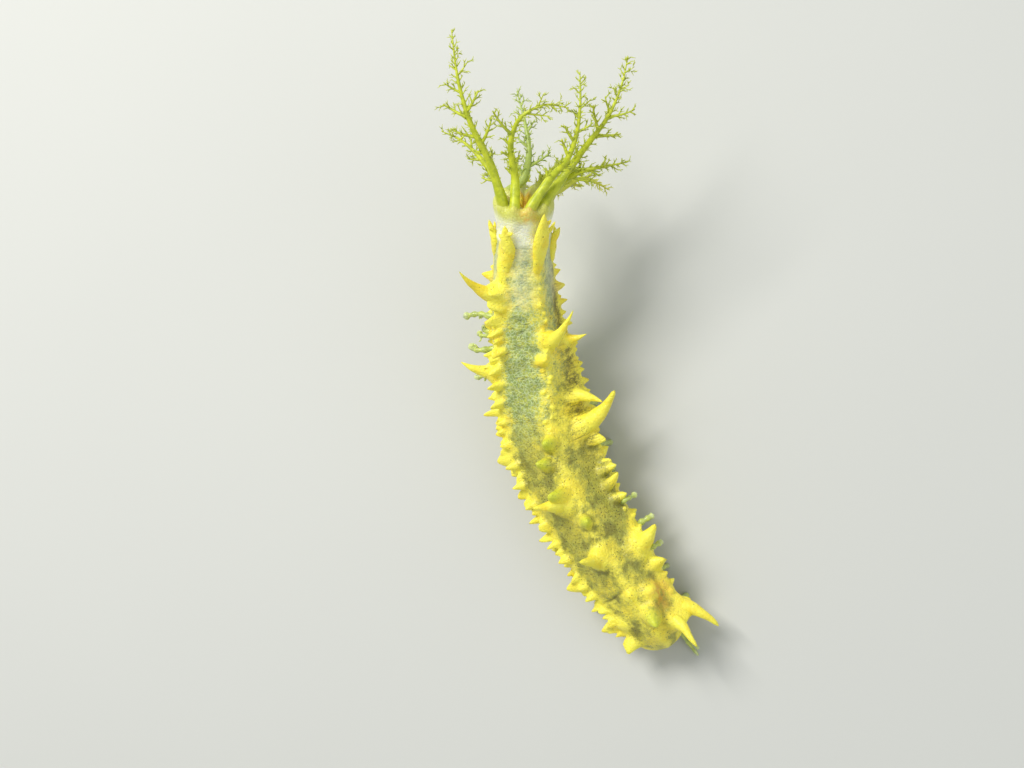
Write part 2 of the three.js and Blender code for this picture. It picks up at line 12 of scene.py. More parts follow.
import bpy
import numpy as np
from bpy.props import FloatProperty, FloatVectorProperty, IntProperty, PointerProperty
from bpy.types import Operator, Panel, PropertyGroup
from mathutils import Matrix
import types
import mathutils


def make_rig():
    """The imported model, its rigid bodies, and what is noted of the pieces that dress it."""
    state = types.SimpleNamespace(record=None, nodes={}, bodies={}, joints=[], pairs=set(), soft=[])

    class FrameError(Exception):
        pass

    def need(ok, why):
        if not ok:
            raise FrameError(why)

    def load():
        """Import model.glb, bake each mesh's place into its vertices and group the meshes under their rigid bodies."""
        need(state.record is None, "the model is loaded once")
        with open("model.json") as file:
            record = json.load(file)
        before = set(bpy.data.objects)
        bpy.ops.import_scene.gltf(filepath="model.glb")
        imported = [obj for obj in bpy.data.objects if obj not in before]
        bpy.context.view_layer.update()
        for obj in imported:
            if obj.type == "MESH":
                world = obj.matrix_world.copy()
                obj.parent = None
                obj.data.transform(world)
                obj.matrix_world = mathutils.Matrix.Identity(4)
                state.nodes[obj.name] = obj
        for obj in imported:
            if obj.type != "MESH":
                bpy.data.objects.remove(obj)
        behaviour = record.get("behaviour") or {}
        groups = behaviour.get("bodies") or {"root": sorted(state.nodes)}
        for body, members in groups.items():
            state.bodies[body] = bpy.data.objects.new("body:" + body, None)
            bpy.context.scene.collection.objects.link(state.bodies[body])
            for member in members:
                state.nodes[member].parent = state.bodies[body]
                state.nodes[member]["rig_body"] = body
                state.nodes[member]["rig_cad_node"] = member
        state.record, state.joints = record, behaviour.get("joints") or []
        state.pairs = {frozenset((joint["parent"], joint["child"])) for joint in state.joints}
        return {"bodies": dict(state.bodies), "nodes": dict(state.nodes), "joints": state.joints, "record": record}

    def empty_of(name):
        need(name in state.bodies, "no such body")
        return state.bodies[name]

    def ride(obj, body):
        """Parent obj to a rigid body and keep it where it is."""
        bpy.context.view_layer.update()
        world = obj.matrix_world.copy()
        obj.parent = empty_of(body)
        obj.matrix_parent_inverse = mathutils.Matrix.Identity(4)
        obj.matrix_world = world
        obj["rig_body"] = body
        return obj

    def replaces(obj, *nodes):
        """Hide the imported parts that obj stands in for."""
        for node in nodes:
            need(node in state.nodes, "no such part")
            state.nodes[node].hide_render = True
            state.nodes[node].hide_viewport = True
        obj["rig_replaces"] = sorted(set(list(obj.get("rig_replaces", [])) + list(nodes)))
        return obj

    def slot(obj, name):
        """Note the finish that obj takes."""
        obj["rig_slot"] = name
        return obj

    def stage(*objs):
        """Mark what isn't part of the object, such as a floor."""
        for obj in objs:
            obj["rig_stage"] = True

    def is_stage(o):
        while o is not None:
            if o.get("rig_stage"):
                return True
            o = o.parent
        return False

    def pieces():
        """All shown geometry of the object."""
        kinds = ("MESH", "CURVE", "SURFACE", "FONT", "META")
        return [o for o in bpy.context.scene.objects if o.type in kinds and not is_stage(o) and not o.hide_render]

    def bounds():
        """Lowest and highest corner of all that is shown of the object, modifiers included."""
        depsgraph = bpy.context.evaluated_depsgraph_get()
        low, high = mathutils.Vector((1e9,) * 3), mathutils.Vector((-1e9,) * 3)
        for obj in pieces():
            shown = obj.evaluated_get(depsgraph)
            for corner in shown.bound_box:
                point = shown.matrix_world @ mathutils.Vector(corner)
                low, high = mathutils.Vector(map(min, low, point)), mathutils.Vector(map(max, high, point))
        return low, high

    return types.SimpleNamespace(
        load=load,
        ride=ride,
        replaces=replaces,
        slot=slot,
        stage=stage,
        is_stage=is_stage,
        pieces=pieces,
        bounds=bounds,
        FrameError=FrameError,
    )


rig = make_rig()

bl_info = {
    "name": "Spiny sea cucumber",
    "version": (1, 0, 0),
    "blender": (4, 5, 0),
    "location": "View3D > Sidebar > Sea cucumber",
    "description": "Builds a yellow sea cucumber with papillae, tube feet and branching tentacles",
    "category": "Add Mesh",
}

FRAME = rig.load()
CAD_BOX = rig.bounds()
MM = 0.001

# Trunk stations from the tail to the rim: x, y, z, half width, half height, roll of the back to the right.
STATIONS = np.array([
    [20.2, -33.8, 3.4, 3.3, 3.1, -34],
    [17.5, -28.8, 4.5, 4.1, 3.9, -35],
    [14.3, -23.9, 5.3, 4.6, 4.4, -36],
    [11.2, -18.9, 5.8, 4.9, 4.7, -35],
    [8.3, -13.8, 6.1, 5.1, 4.9, -33],
    [6.0, -8.4, 6.4, 5.4, 5.0, -29],
    [4.4, -2.9, 7.1, 5.4, 5.0, -20],
    [3.5, 2.7, 8.8, 5.1, 4.8, -7],
    [3.2, 8.0, 11.2, 4.4, 4.2, 4],
    [3.6, 13.1, 14.1, 3.8, 3.6, 10],
    [4.4, 18.1, 17.0, 3.4, 3.3, 13],
])
LAST = len(STATIONS) - 1
SPACING = 5.87  # between stations
MIDDLE = np.array([10.566, 3.682, 0.0])  # the middle of the animal's box on the floor
TAIL_ROUNDING = 0.75  # stations over which the tail closes
TAIL_POWER = 2.2
SQUARENESS = 2.2
BETWEEN_ROWS = 0.955  # share of the stations' radius that the skin has between its rows
ROW_RISE = 0.13
ROW_SPREAD = 15.0

# Rows: angle from the middle of the back at the tail, and its change per station.
ROWS = {
    "right_back": (43.0, -0.5),
    "left_back": (-43.0, 0.5),
    "right_side": (116.0, -0.8),
    "left_side": (-116.0, 0.8),
    "belly": (180.0, 0.0),
}

# Large papillae: row, station, degrees off the row, length, root radius, lean forward, lean sideways.
LARGE_PAPILLAE = [
    ("left_back", 8.85, -10, 7.0, 1.45, 1.25, -0.3),
    ("left_back", 7.05, -12, 4.8, 1.4, 0.75, -0.15),
    ("left_back", 5.15, -14, 2.4, 1.45, 0, -0.2),
    ("left_back", 2.2, -6, 2.4, 1.2, 0.2, -0.1),
    ("left_back", 1.05, -10, 2.4, 1.1, 0, -0.2),
    ("left_back", 0.5, 10, 1.9, 0.9, -0.7, 0.1),
    ("right_back", 7.75, 2, 7.6, 1.4, 1.5, 0.5),
    ("right_back", 7.35, -8, 1.6, 1.1, 0.3, 0),
    ("right_back", 5.18, -4, 2.4, 1.2, 0.2, -0.3),
    ("right_back", 4.75, -16, 2.2, 1.1, 0.4, -0.5),
    ("right_back", 4.02, -10, 2.5, 1.05, 0.3, -0.3),
    ("right_back", 3.85, -18, 4.8, 1.6, 0.4, -0.7),
    ("right_back", 3.28, -1, 2.0, 1.0, 0, 0.3),
    ("right_back", 2.48, -14, 4.2, 1.4, 0.35, -0.3),
    ("right_back", 0.95, 8, 3.0, 1.4, -0.5, -0.2),
    ("right_side", 7.5, -24, 3.4, 1.1, 0.3, 0),
    ("right_side", 6.2, -24, 4.2, 1.3, -0.45, 0),
    ("right_side", 5.3, -18, 7.4, 1.75, 0.62, 0),
    ("right_side", 4.9, -14, 2.2, 0.8, -0.3, 0.1),
    ("right_side", 4.15, -11, 2.3, 0.85, -0.1, 0),
    ("right_side", 3.75, -13, 2.6, 0.9, 0.4, 0),
    ("right_side", 3.4, -12, 2.0, 0.8, -0.1, 0),
    ("right_side", 2.25, -16, 4.4, 1.9, 0.4, 0),
    ("right_side", 1.75, -12, 1.9, 0.85, -0.1, 0.1),
    ("right_side", 0.6, -32, 5.4, 1.3, -1.9, -0.4),
    ("right_side", 0.7, 0, 5.8, 1.4, -2.0, -0.1),
    ("left_side", 0.6, 0, 2.2, 0.9, -0.8, 0),
]

GREEN, SHORT, LONG = 1, 2, 3  # kinds of large papilla
GREEN_UP_TO = 5.5  # station up to which the short ones of the right row of the back are green
FOOT_SHARE = 0.36  # of a long papilla's length, raised from the skin
HORN_START = 0.06  # share of a long papilla's length where its own rings begin
HORN_STEPS, HORN_SIDES = 30, 22

# Low swellings of the tail: row, station, degrees off the row, height, radius.
SWELLINGS = [
    ("right_back", 1.32, 28, 1.0, 1.5),
    ("right_back", 1.5, -6, 0.6, 1.0),
    ("left_back", 1.0, 20, 0.5, 1.3),
]

# Small papillae, and then warts, in files along the rows: row, first and last station, how many, greatest
# length, spread round the trunk in degrees.
PAPILLA_FILES = [
    ("left_back", 1.55, 8.75, 32, 1.5, 8),
    ("left_side", 0.5, 9.2, 20, 1.7, 8),
    ("right_back", 5.6, 8.9, 9, 0.42, 8),
    ("right_side", 1.5, 9.4, 18, 1.2, 8),
    ("left_back", 0.6, 9.0, 84, 1.0, 16),
    ("left_side", 0.6, 9.2, 70, 1.0, 18),
    ("right_back", 5.2, 9.2, 14, 0.24, 12),
    ("right_side", 0.6, 9.4, 44, 0.7, 18),
    ("belly", 0.4, 9.4, 60, 0.3, 40),
]
WARTS_FROM = 4  # the first file of warts
CLEARANCE = 0.8  # of a large papilla's root radius, kept free of small ones
WART_ROOT, SMALL_ROOT, ROOT_GAIN = 0.27, 0.36, 0.2  # root radius, and its gain with the length
PER_DEGREE = 0.085  # millimetres round the trunk
LONG_FROM = 3.0  # length past which a large papilla is a horn of its own
LONG_REACH, REACH = 1.5, 1.25  # how far a papilla raises the skin, in root radii
TURN_AT_ROOT, TURN_GAIN = 0.45, 0.4  # share of its lean that a papilla has at its root, and gains to its tip

# Tube feet: row, first and last station, how many, radius.
FOOT_FILES = [
    ("left_side", 0.35, 8.3, 24, 0.36),
    ("belly", 0.35, 6.3, 18, 0.36),
    ("right_side", 0.6, 6.4, 9, 0.38),
    ("left_side", 0.5, 7.9, 18, 0.28),
    ("belly", 0.5, 7.4, 26, 0.28),
]
LOOSE_FOOT = {"left_side": 3.2, "belly": 1.8, "right_side": 2.1}
TUCKED = 28  # degrees that most feet of the right side stand further under the trunk

# Loose strands: station, angle, length, how far back and how far out they point.
STRANDS = [
    (0.2, 128, 3.2, 1.0, 0.1),
    (0.16, 150, 3.9, 1.0, 0.1),
    (0.2, 172, 3.3, 1.0, 0.2),
    (0.3, -128, 2.6, 0.7, 0.8),
    (0.42, -124, 2.2, 0.5, 0.9),
    (2.15, -112, 3.4, -0.3, 1.0),
    (2.3, -118, 3.0, -0.2, 1.0),
]
FOOT_SPREAD = {"left_side": 1.2, "belly": 0.35, "right_side": 0.6}
WIDE_SPREAD = 3.2  # of every third foot of the left side
FOOT_STEPS = 22
FOOT_DEPTH = 0.9  # how far a foot's root is inside the skin
SOLE = 0.07  # height of a standing foot's end
STANDS_BELOW, STANDS_OUT = 4.2, 0.25  # a foot stands if its root is lower and it points up by no more
FOOT_GIRTH = (0, 0.3, 0.6, 0.84, 0.93, 1), (1.25, 1.05, 0.85, 0.8, 1.15, 0.95)  # place, share of the radius

# Oral valves: row, length past the rim, angle at the rim, half width, and spurs as share, side and length.
VALVES = [
    ("right_back", 5.5, 37, 1.0, ((0.7, 1, 1.9), (0.86, 1, 0.6))),
    ("left_back", 3.8, -27, 0.9, ((0.88, 1, 0.5), (0.78, -1, 0.6))),
    ("right_side", 1.6, 100, 0.8, ((0.84, 1, 0.8),)),
    ("left_side", 2.6, -90, 0.8, ((0.76, -1, 1.3), (0.88, 1, 0.6))),
    ("belly", 2.4, 180, 0.8, ((0.84, 1, 0.8),)),
]
VALVE_ROOTS = 9.15, 9.55  # stations where a valve is inside the skin
VALVE_THICKNESS = 0.62  # half
VALVE_WIDTHS = (0, 0.25, 0.45, 0.6, 0.72, 0.86, 0.95, 1), (0.5, 0.7, 0.95, 1.08, 0.95, 0.62, 0.34, 0.08)
SPUR_WIDTHS = (0, 0.3, 0.7, 0.9, 1), (1.0, 1.0, 0.7, 0.4, 0.08)
SPUR_HALF_WIDTH, SPUR_THICKNESS = 0.36, 0.3
FLAP_STEPS, FLAP_SIDES = 40, 24

# The collar past the rim, then over its edge into the mouth: height, radius.
COLLAR_PROFILE = np.array([
    (0.0, 3.6), (0.8, 3.3), (1.7, 3.2), (2.6, 3.3), (3.6, 3.5), (4.6, 3.62), (5.4, 3.45), (5.7, 2.9),
    (5.4, 1.9), (4.8, 1.2), (4.0, 0.7), (3.2, 0.35), (3.1, 0.02),
])
COLLAR_RINGS = 44
SEAT_RING = 2.6  # radius of the ring that the tentacles' trunks start on
SEAT_HEIGHT = 3.7

# Tentacles: seat round the mouth in degrees, points of the trunk as forward, right and up of the rim, and
# side branches as share of the trunk, turn round it from the back towards the right, and length.
TENTACLES = {
    "tentacle_01": (
        -54, [(10.6, -4.0, 1.4), (15.9, -6.4, 1.3), (20.8, -7.9, 0.2), (26.1, -8.9, -2.3)],
        [(0.34, 80, 1.4), (0.37, -90, 1.6), (0.43, 85, 3.9), (0.47, -85, 3.4), (0.58, -95, 3.4),
         (0.6, 80, 3.1), (0.7, -85, 2.4), (0.78, 90, 2.2), (0.81, -90, 1.1), (0.88, 85, 0.8)],
    ),
    "tentacle_02": (
        -18, [(8.3, -1.0, 0.8), (13.5, -1.5, 1.2), (16.8, -0.3, 1.5), (18.5, 2.6, 1.4), (18.2, 5.4, 1.4)],
        [(0.3, -100, 1.4), (0.38, 80, 1.6), (0.42, -80, 1.6), (0.5, -90, 1.3), (0.57, -75, 4.2),
         (0.74, 100, 2.9), (0.82, -80, 2.0), (0.9, 90, 1.3), (0.93, -80, 1.2)],
    ),
    "tentacle_03": (
        18, [(8.4, 3.1, 1.0), (11.8, 5.4, 1.7), (15.0, 6.4, 1.4), (18.4, 6.7, 0.6), (21.7, 6.5, -1.4)],
        [(0.3, -90, 1.6), (0.42, 90, 1.8), (0.5, -100, 2.4), (0.6, -85, 2.4), (0.66, 95, 2.3),
         (0.74, -90, 1.4), (0.8, 85, 1.8), (0.88, -80, 1.3), (0.93, 90, 1.0)],
    ),
    "tentacle_04": (
        54, [(8.3, 5.0, -1.4), (12.3, 7.5, -1.1), (16.0, 9.9, -1.1), (19.5, 11.4, -2.2),
         (22.7, 12.1, -4.2)],
        [(0.33, 80, 2.0), (0.42, -85, 1.6), (0.56, 90, 3.3), (0.6, -80, 3.6), (0.69, 90, 3.4),
         (0.71, -95, 2.0), (0.8, -80, 1.3), (0.84, 85, 1.2), (0.92, 90, 1.4)],
    ),
    "tentacle_05": (
        90, [(6.8, 4.6, -2.2), (8.6, 7.0, -1.7), (9.5, 9.7, -1.3), (9.8, 12.6, -2.3)],
        [(0.35, -90, 1.6), (0.45, 90, 3.1), (0.55, -85, 1.5), (0.65, 90, 1.6), (0.75, -90, 1.4),
         (0.86, 85, 1.2)],
    ),
    "tentacle_06": (
        126, [(4.7, 4.2, -4.4), (5.3, 7.1, -6.8), (3.4, 10.3, -7.6)],
        [(0.4, -90, 1.5), (0.55, 90, 1.6), (0.72, -90, 1.3), (0.85, 90, 1.0)],
    ),
    "tentacle_07": (
        162, [(4.9, 1.4, -4.9), (5.9, 2.9, -7.4), (6.4, 4.4, -10.2)],
        [(0.45, -90, 1.4), (0.6, 80, 1.5), (0.8, -85, 1.1)],
    ),
    "tentacle_08": (
        -162, [(4.9, -0.4, -4.8), (5.9, -1.0, -7.1), (6.6, -2.7, -9.2)],
        [(0.45, 80, 1.4), (0.62, -90, 1.5), (0.8, 90, 1.0)],
    ),
    "tentacle_09": (
        -126, [(6.4, -0.3, -3.3), (9.5, 0.3, -4.7), (12.5, -0.4, -7.0), (15.6, -1.6, -9.4)],
        [(0.3, -90, 1.8), (0.4, 90, 3.4), (0.55, -90, 2.0), (0.68, 85, 1.8), (0.8, -90, 1.5),
         (0.9, 90, 1.0)],
    ),
    "tentacle_10": (
        -90, [(6.1, -3.6, -2.9), (8.5, -5.8, -4.8), (10.2, -8.4, -6.2), (10.9, -10.8, -7.0)],
        [(0.35, -90, 2.0), (0.45, 90, 1.6), (0.58, -80, 1.8), (0.7, 90, 1.4), (0.82, -90, 1.2),
         (0.9, 90, 0.8)],
    ),
}

STALK_STEPS = {"trunk": 72, "branch": 22, "twig": 7, "twiglet": 4}
STALK_SIDES = {"trunk": 22, "branch": 10, "twig": 6, "twiglet": 5}
PALE_TENTACLE = "tentacle_09"
END_BULGE = 0.7  # how far a tube's end stands out, in radii
SPAN_STEPS = 60  # between two points of a curve, before its points are spread evenly
TIP_RADIUS = 0.07
TWIGLET_RADIUS = 0.064

# Grid of the skin: how much closer the rings stand at the tail, and the first one's station.
TAIL_CROWDING = 0.042
FIRST_RING = 0.006
ROW_CROWDING, ROW_BELL = 0.8, 24.0  # how much closer the columns stand at the rows, and over how many degrees
LOWEST_SKIN = 0.03

# Numbers that the skin's material reads at each point.
SKIN_MARKS = ("yellow", "tip", "fold", "lime", "dusk", "rear", "blush", "collar", "ahead", "round")

FLESH_DEPTH = 0.0006  # metres that light travels in the flesh

# The camera stands 75 degrees above the animal's right side, with the image's up along +Y.
CAMERA_ELEVATION = 75.0
CAMERA_DISTANCE = 258.844
CAMERA_TARGET = np.array([0.0, 0.0, 6.0])
CAMERA_LENS = 70.0
SENSOR = 36.0
FLOOR_HALF = 1.5  # metres

# Lights: name, place, width, colour.
LIGHTS = [
    ("key", (-170, 190, 330), 0.16, (1.0, 0.98, 0.94)),
    ("fill", (260, -80, 260), 0.35, (0.94, 0.97, 1.0)),
]
LIT_POINT = np.array([0.0, 0.0, 6.0])
SKY = (0.94, 0.98, 0.97, 1)
SKY_STRENGTH = 0.45


# Numbers

def vary(n):
    """A repeatable number from 0 to 1: the fractional part of 43758.5453 times the sine of a turned n."""
    s = np.sin(np.asarray(n, float) * 12.9898 + 78.233) * 43758.5453
    return s - np.floor(s)


def smooth(x, low=0.0, high=1.0):
    """0 at low and before it, 1 at high and past it, and 3q^2 - 2q^3 between them. Low may be above high."""
    q = np.clip((np.asarray(x, float) - low) / (high - low), 0, 1)
    return q * q * (3 - 2 * q)


def bell(x, width):
    """exp(-(x / width)^2)."""
    return np.exp(-((x / width) ** 2))


def turn_between(a, b):
    """The difference of two angles in degrees, from -180 to 180."""
    return (a - b + 180) % 360 - 180


def unit(v):
    """Each vector divided by its length."""
    return v / np.maximum(np.linalg.norm(v, axis=-1, keepdims=True), 1e-12)


def grain(points, size, seed=0):
    """Smooth random values from -1 to 1: hashed numbers on a lattice of that size, blended between its
    eight corners by the smooth step of the place in the cell."""
    place = points / size + 17.31 * seed
    cell = np.floor(place).astype(np.int64)
    share = smooth(place - cell)
    total = np.zeros(points.shape[:-1])
    for corner in product((0, 1), repeat=3):
        x, y, z = np.moveaxis(cell + np.array(corner), -1, 0)
        mixed = (x * 73856093) ^ (y * 19349663) ^ (z * 83492791)
        mixed = ((mixed & 0xFFFFFFFF) ^ ((mixed & 0xFFFFFFFF) >> 13)) * 1274126177 & 0xFFFFFFFF
        weight = np.prod(np.where(np.array(corner) == 1, share, 1 - share), axis=-1)
        total += weight * ((mixed ^ (mixed >> 16)) / 2**31 - 1)
    return total


def linear(red, green, blue):
    """A colour from its 0 to 255 screen values, as a linear colour."""
    values = (v / 255 for v in (red, green, blue))
    return tuple(v / 12.92 if v <= 0.04045 else ((v + 0.055) / 1.055) ** 2.4 for v in values)


# The trunk's surface

def along(column, t):
    """A column of the stations at fractional stations t, by the uniform Catmull-Rom cubic with its end
    points carried straight on."""
    v = STATIONS[:, column]
    v = np.concatenate([[2 * v[0] - v[1]], v, [2 * v[-1] - v[-2]]])
    i = np.clip(np.floor(t).astype(int), 0, LAST - 1)
    f = t - i
    p, q, r, s = v[i], v[i + 1], v[i + 2], v[i + 3]
    return 0.5 * (2 * q + (r - p) * f + (2 * p - 5 * q + 4 * r - s) * f**2 + (3 * q - p - 3 * r + s) * f**3)


def frame_at(t):
    """The middle line's point at stations t, with the forward, back and right directions: forward is its
    central difference, and back is the world's up, made square to forward and rolled towards the right."""
    def place(s):
        return np.stack([along(0, s), along(1, s), along(2, s)], -1)

    t = np.asarray(t, float)
    forward = unit(place(t + 0.02) - place(t - 0.02))
    level = unit(np.array([0, 0, 1.0]) - forward[..., 2:] * forward)
    right = np.cross(forward, level)
    roll = np.radians(along(5, t))[..., None]
    return (place(t), forward, level * np.cos(roll) + right * np.sin(roll),
            right * np.cos(roll) - level * np.sin(roll))


def row_angle(row, t):
    """The row's angle at the tail plus its change per station times t."""
    first, change = ROWS[row]
    return first + change * np.asarray(t, float)


def radius_at(t, angle):
    """Radius of a superellipse with the station's half width and half height, closed at the tail by a root
    curve and raised by a bell at each row."""
    closing = np.sqrt(np.maximum(1 - (1 - np.clip(t / TAIL_ROUNDING, 0, 1)) ** TAIL_POWER, 0))
    a = np.radians(angle)
    across = np.abs(np.sin(a) / along(3, t)) ** SQUARENESS
    upright = np.abs(np.cos(a) / along(4, t)) ** SQUARENESS
    rise = sum(bell(turn_between(angle, row_angle(row, t)), ROW_SPREAD) for row in ROWS)
    return (across + upright) ** (-1 / SQUARENESS) * closing * (BETWEEN_ROWS + ROW_RISE * rise)


def skin_at(t, angle):
    """The skin's point at station t and angle, with the ways out, forward and round: the middle line's
    point plus the radius times back cos(angle) + right sin(angle)."""
    t, angle = np.broadcast_arrays(np.asarray(t, float), np.asarray(angle, float))
    point, forward, back, right = frame_at(t)
    a = np.radians(angle)[..., None]
    out = back * np.cos(a) + right * np.sin(a)
    return point + out * radius_at(t, angle)[..., None], out, forward, right * np.cos(a) - back * np.sin(a)


RIM, CROWN_FORWARD, CROWN_BACK, CROWN_RIGHT = frame_at(float(LAST))


def crown_points(points):
    """Points given as forward, right and up of the rim, in the stations' frame."""
    points = np.asarray(points, float)
    return (RIM + points[..., :1] * CROWN_FORWARD + points[..., 1:2] * CROWN_RIGHT
            + points[..., 2:] * CROWN_BACK)


# Meshes

def make_piece(name, points, quads, triangles, marks, material, slot, *nodes):
    """Adds a smooth mesh object at the origin from points in millimetres, with one number per point for
    each mark. It rides on the animal and stands for the named nodes."""
    mesh = bpy.data.meshes.new(name)
    mesh.from_pydata(((points - MIDDLE) * MM).tolist(), [], quads.tolist() + triangles.tolist())
    mesh.polygons.foreach_set("use_smooth", np.ones(len(mesh.polygons), bool))
    for mark, values in marks.items():
        attribute = mesh.attributes.new(mark, "FLOAT", "POINT")
        attribute.data.foreach_set("value", np.ascontiguousarray(values, np.float32).ravel())
    mesh.materials.append(material)
    mesh.validate()
    piece = bpy.data.objects.new(name, mesh)
    bpy.context.scene.collection.objects.link(piece)
    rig.ride(piece, "root")
    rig.slot(piece, slot)
    if nodes:
        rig.replaces(piece, *nodes)


def closed_grid(rings, start, end):
    """Vertices and faces of a stack of rings, closed by a point at each end: quads between neighbours on
    neighbouring rings, and a fan of triangles to each end point. rings is (..., ring, round, 3), and each
    leading index is a stack of its own."""
    rows, columns = rings.shape[-3:-1]
    stacks = rings.reshape(-1, rows, columns, 3)
    many = len(stacks)
    size = rows * columns + 2
    points = np.concatenate([stacks.reshape(many, -1, 3), np.reshape(start, (many, 1, 3)),
                             np.reshape(end, (many, 1, 3))], 1)
    r, c = np.meshgrid(np.arange(rows - 1), np.arange(columns), indexing="ij")
    a, b = r * columns + c, r * columns + (c + 1) % columns
    quads = np.stack([a, b, b + columns, a + columns], -1).reshape(-1, 4)
    k = np.arange(columns)
    after = (k + 1) % columns
    last = (rows - 1) * columns
    triangles = np.concatenate([
        np.stack([after, k, np.full(columns, rows * columns)], -1),
        np.stack([last + k, last + after, np.full(columns, rows * columns + 1)], -1),
    ])
    shift = (np.arange(many) * size)[:, None, None]
    return points.reshape(-1, 3), (quads + shift).reshape(-1, 4), (triangles + shift).reshape(-1, 3)


def even_turn(sides):
    """Angles of that many even steps round a ring."""
    return np.arange(sides) * 2 * np.pi / sides


def per_point(values, sides, many):
    """A value for each ring, repeated round the ring, at the end points and for that many closed grids."""
    return np.tile(np.concatenate([np.repeat(values, sides), values[:1], values[-1:]]), many)


def tubes(paths, radii, sides):
    """Round tubes along paths (tube, step, 3) with radii (tube, step): each ring is the path's point plus
    the radius times cos and sin of an even turn, along two directions square to the path."""
    way = unit(np.gradient(paths, axis=1))
    mean = unit(paths[:, -1] - paths[:, 0])
    steady = np.eye(3)[np.argmin(np.abs(mean), axis=1)][:, None]
    side = unit(np.cross(way, np.broadcast_to(steady, way.shape)))
    a = even_turn(sides)
    ring = side[:, :, None] * np.cos(a)[:, None] + np.cross(way, side)[:, :, None] * np.sin(a)[:, None]
    rings = paths[:, :, None] + radii[:, :, None, None] * ring
    end = paths[:, -1] + way[:, -1] * radii[:, -1:] * END_BULGE
    return closed_grid(rings, paths[:, 0], end)


def evenly(points, many):
    """That many points, evenly far apart along the straight lines through the given ones."""
    gone = np.concatenate([[0], np.cumsum(np.linalg.norm(np.diff(points, axis=0), axis=1))])
    even = np.linspace(0, gone[-1], many)
    return np.stack([np.interp(even, gone, column) for column in points.T], -1)


def curve_through(points, many):
    """Points evenly far apart along the centripetal Catmull-Rom curve through the given ones: each segment
    is the Hermite cubic whose slopes come from the square roots of the distances to its neighbours."""
    p = np.concatenate([[2 * points[0] - points[1]], points, [2 * points[-1] - points[-2]]])
    gap = np.linalg.norm(np.diff(p, axis=0), axis=1) ** 0.5
    pieces = []
    for i in range(len(points) - 1):
        d0, d1, d2 = gap[i], gap[i + 1], gap[i + 2]
        x0, x1, x2, x3 = p[i : i + 4]
        m1 = ((x1 - x0) / d0 - (x2 - x0) / (d0 + d1) + (x2 - x1) / d1) * d1
        m2 = ((x2 - x1) / d1 - (x3 - x1) / (d1 + d2) + (x3 - x2) / d2) * d1
        f = np.linspace(0, 1, SPAN_STEPS)[:, None]
        pieces.append(x1 + m1 * f + (3 * (x2 - x1) - 2 * m1 - m2) * f**2 + (2 * (x1 - x2) + m1 + m2) * f**3)
    return evenly(np.concatenate(pieces), many)


# Materials

class Wire:
    """One output of a material's nodes. Arithmetic on it adds Math nodes to the same material."""

    def __init__(self, paint, socket):
        self.paint = paint
        self.socket = socket

    def math(self, operation, *values):
        """A Math node of that operation on the values."""
        return self.paint.node("ShaderNodeMath", {"operation": operation}, dict(enumerate(values)))

    def __add__(self, other):
        return self.math("ADD", self, other)

    def __sub__(self, other):
        return self.math("SUBTRACT", self, other)

    def __rsub__(self, other):
        return self.math("SUBTRACT", other, self)

    def __mul__(self, other):
        return self.math("MULTIPLY", self, other)

    def __truediv__(self, other):
        return self.math("DIVIDE", self, other)

    def __rtruediv__(self, other):
        return self.math("DIVIDE", other, self)

    def __abs__(self):
        return self.math("ABSOLUTE", self)

    __radd__ = __add__
    __rmul__ = __mul__

    def between(self, low, high):
        """0 below low and 1 above high, smoothly between them. Low may be above high."""
        return self.paint.node("ShaderNodeMapRange", {"interpolation_type": "SMOOTHSTEP"},
                               {0: self, 1: low, 2: high, 3: 0.0, 4: 1.0})


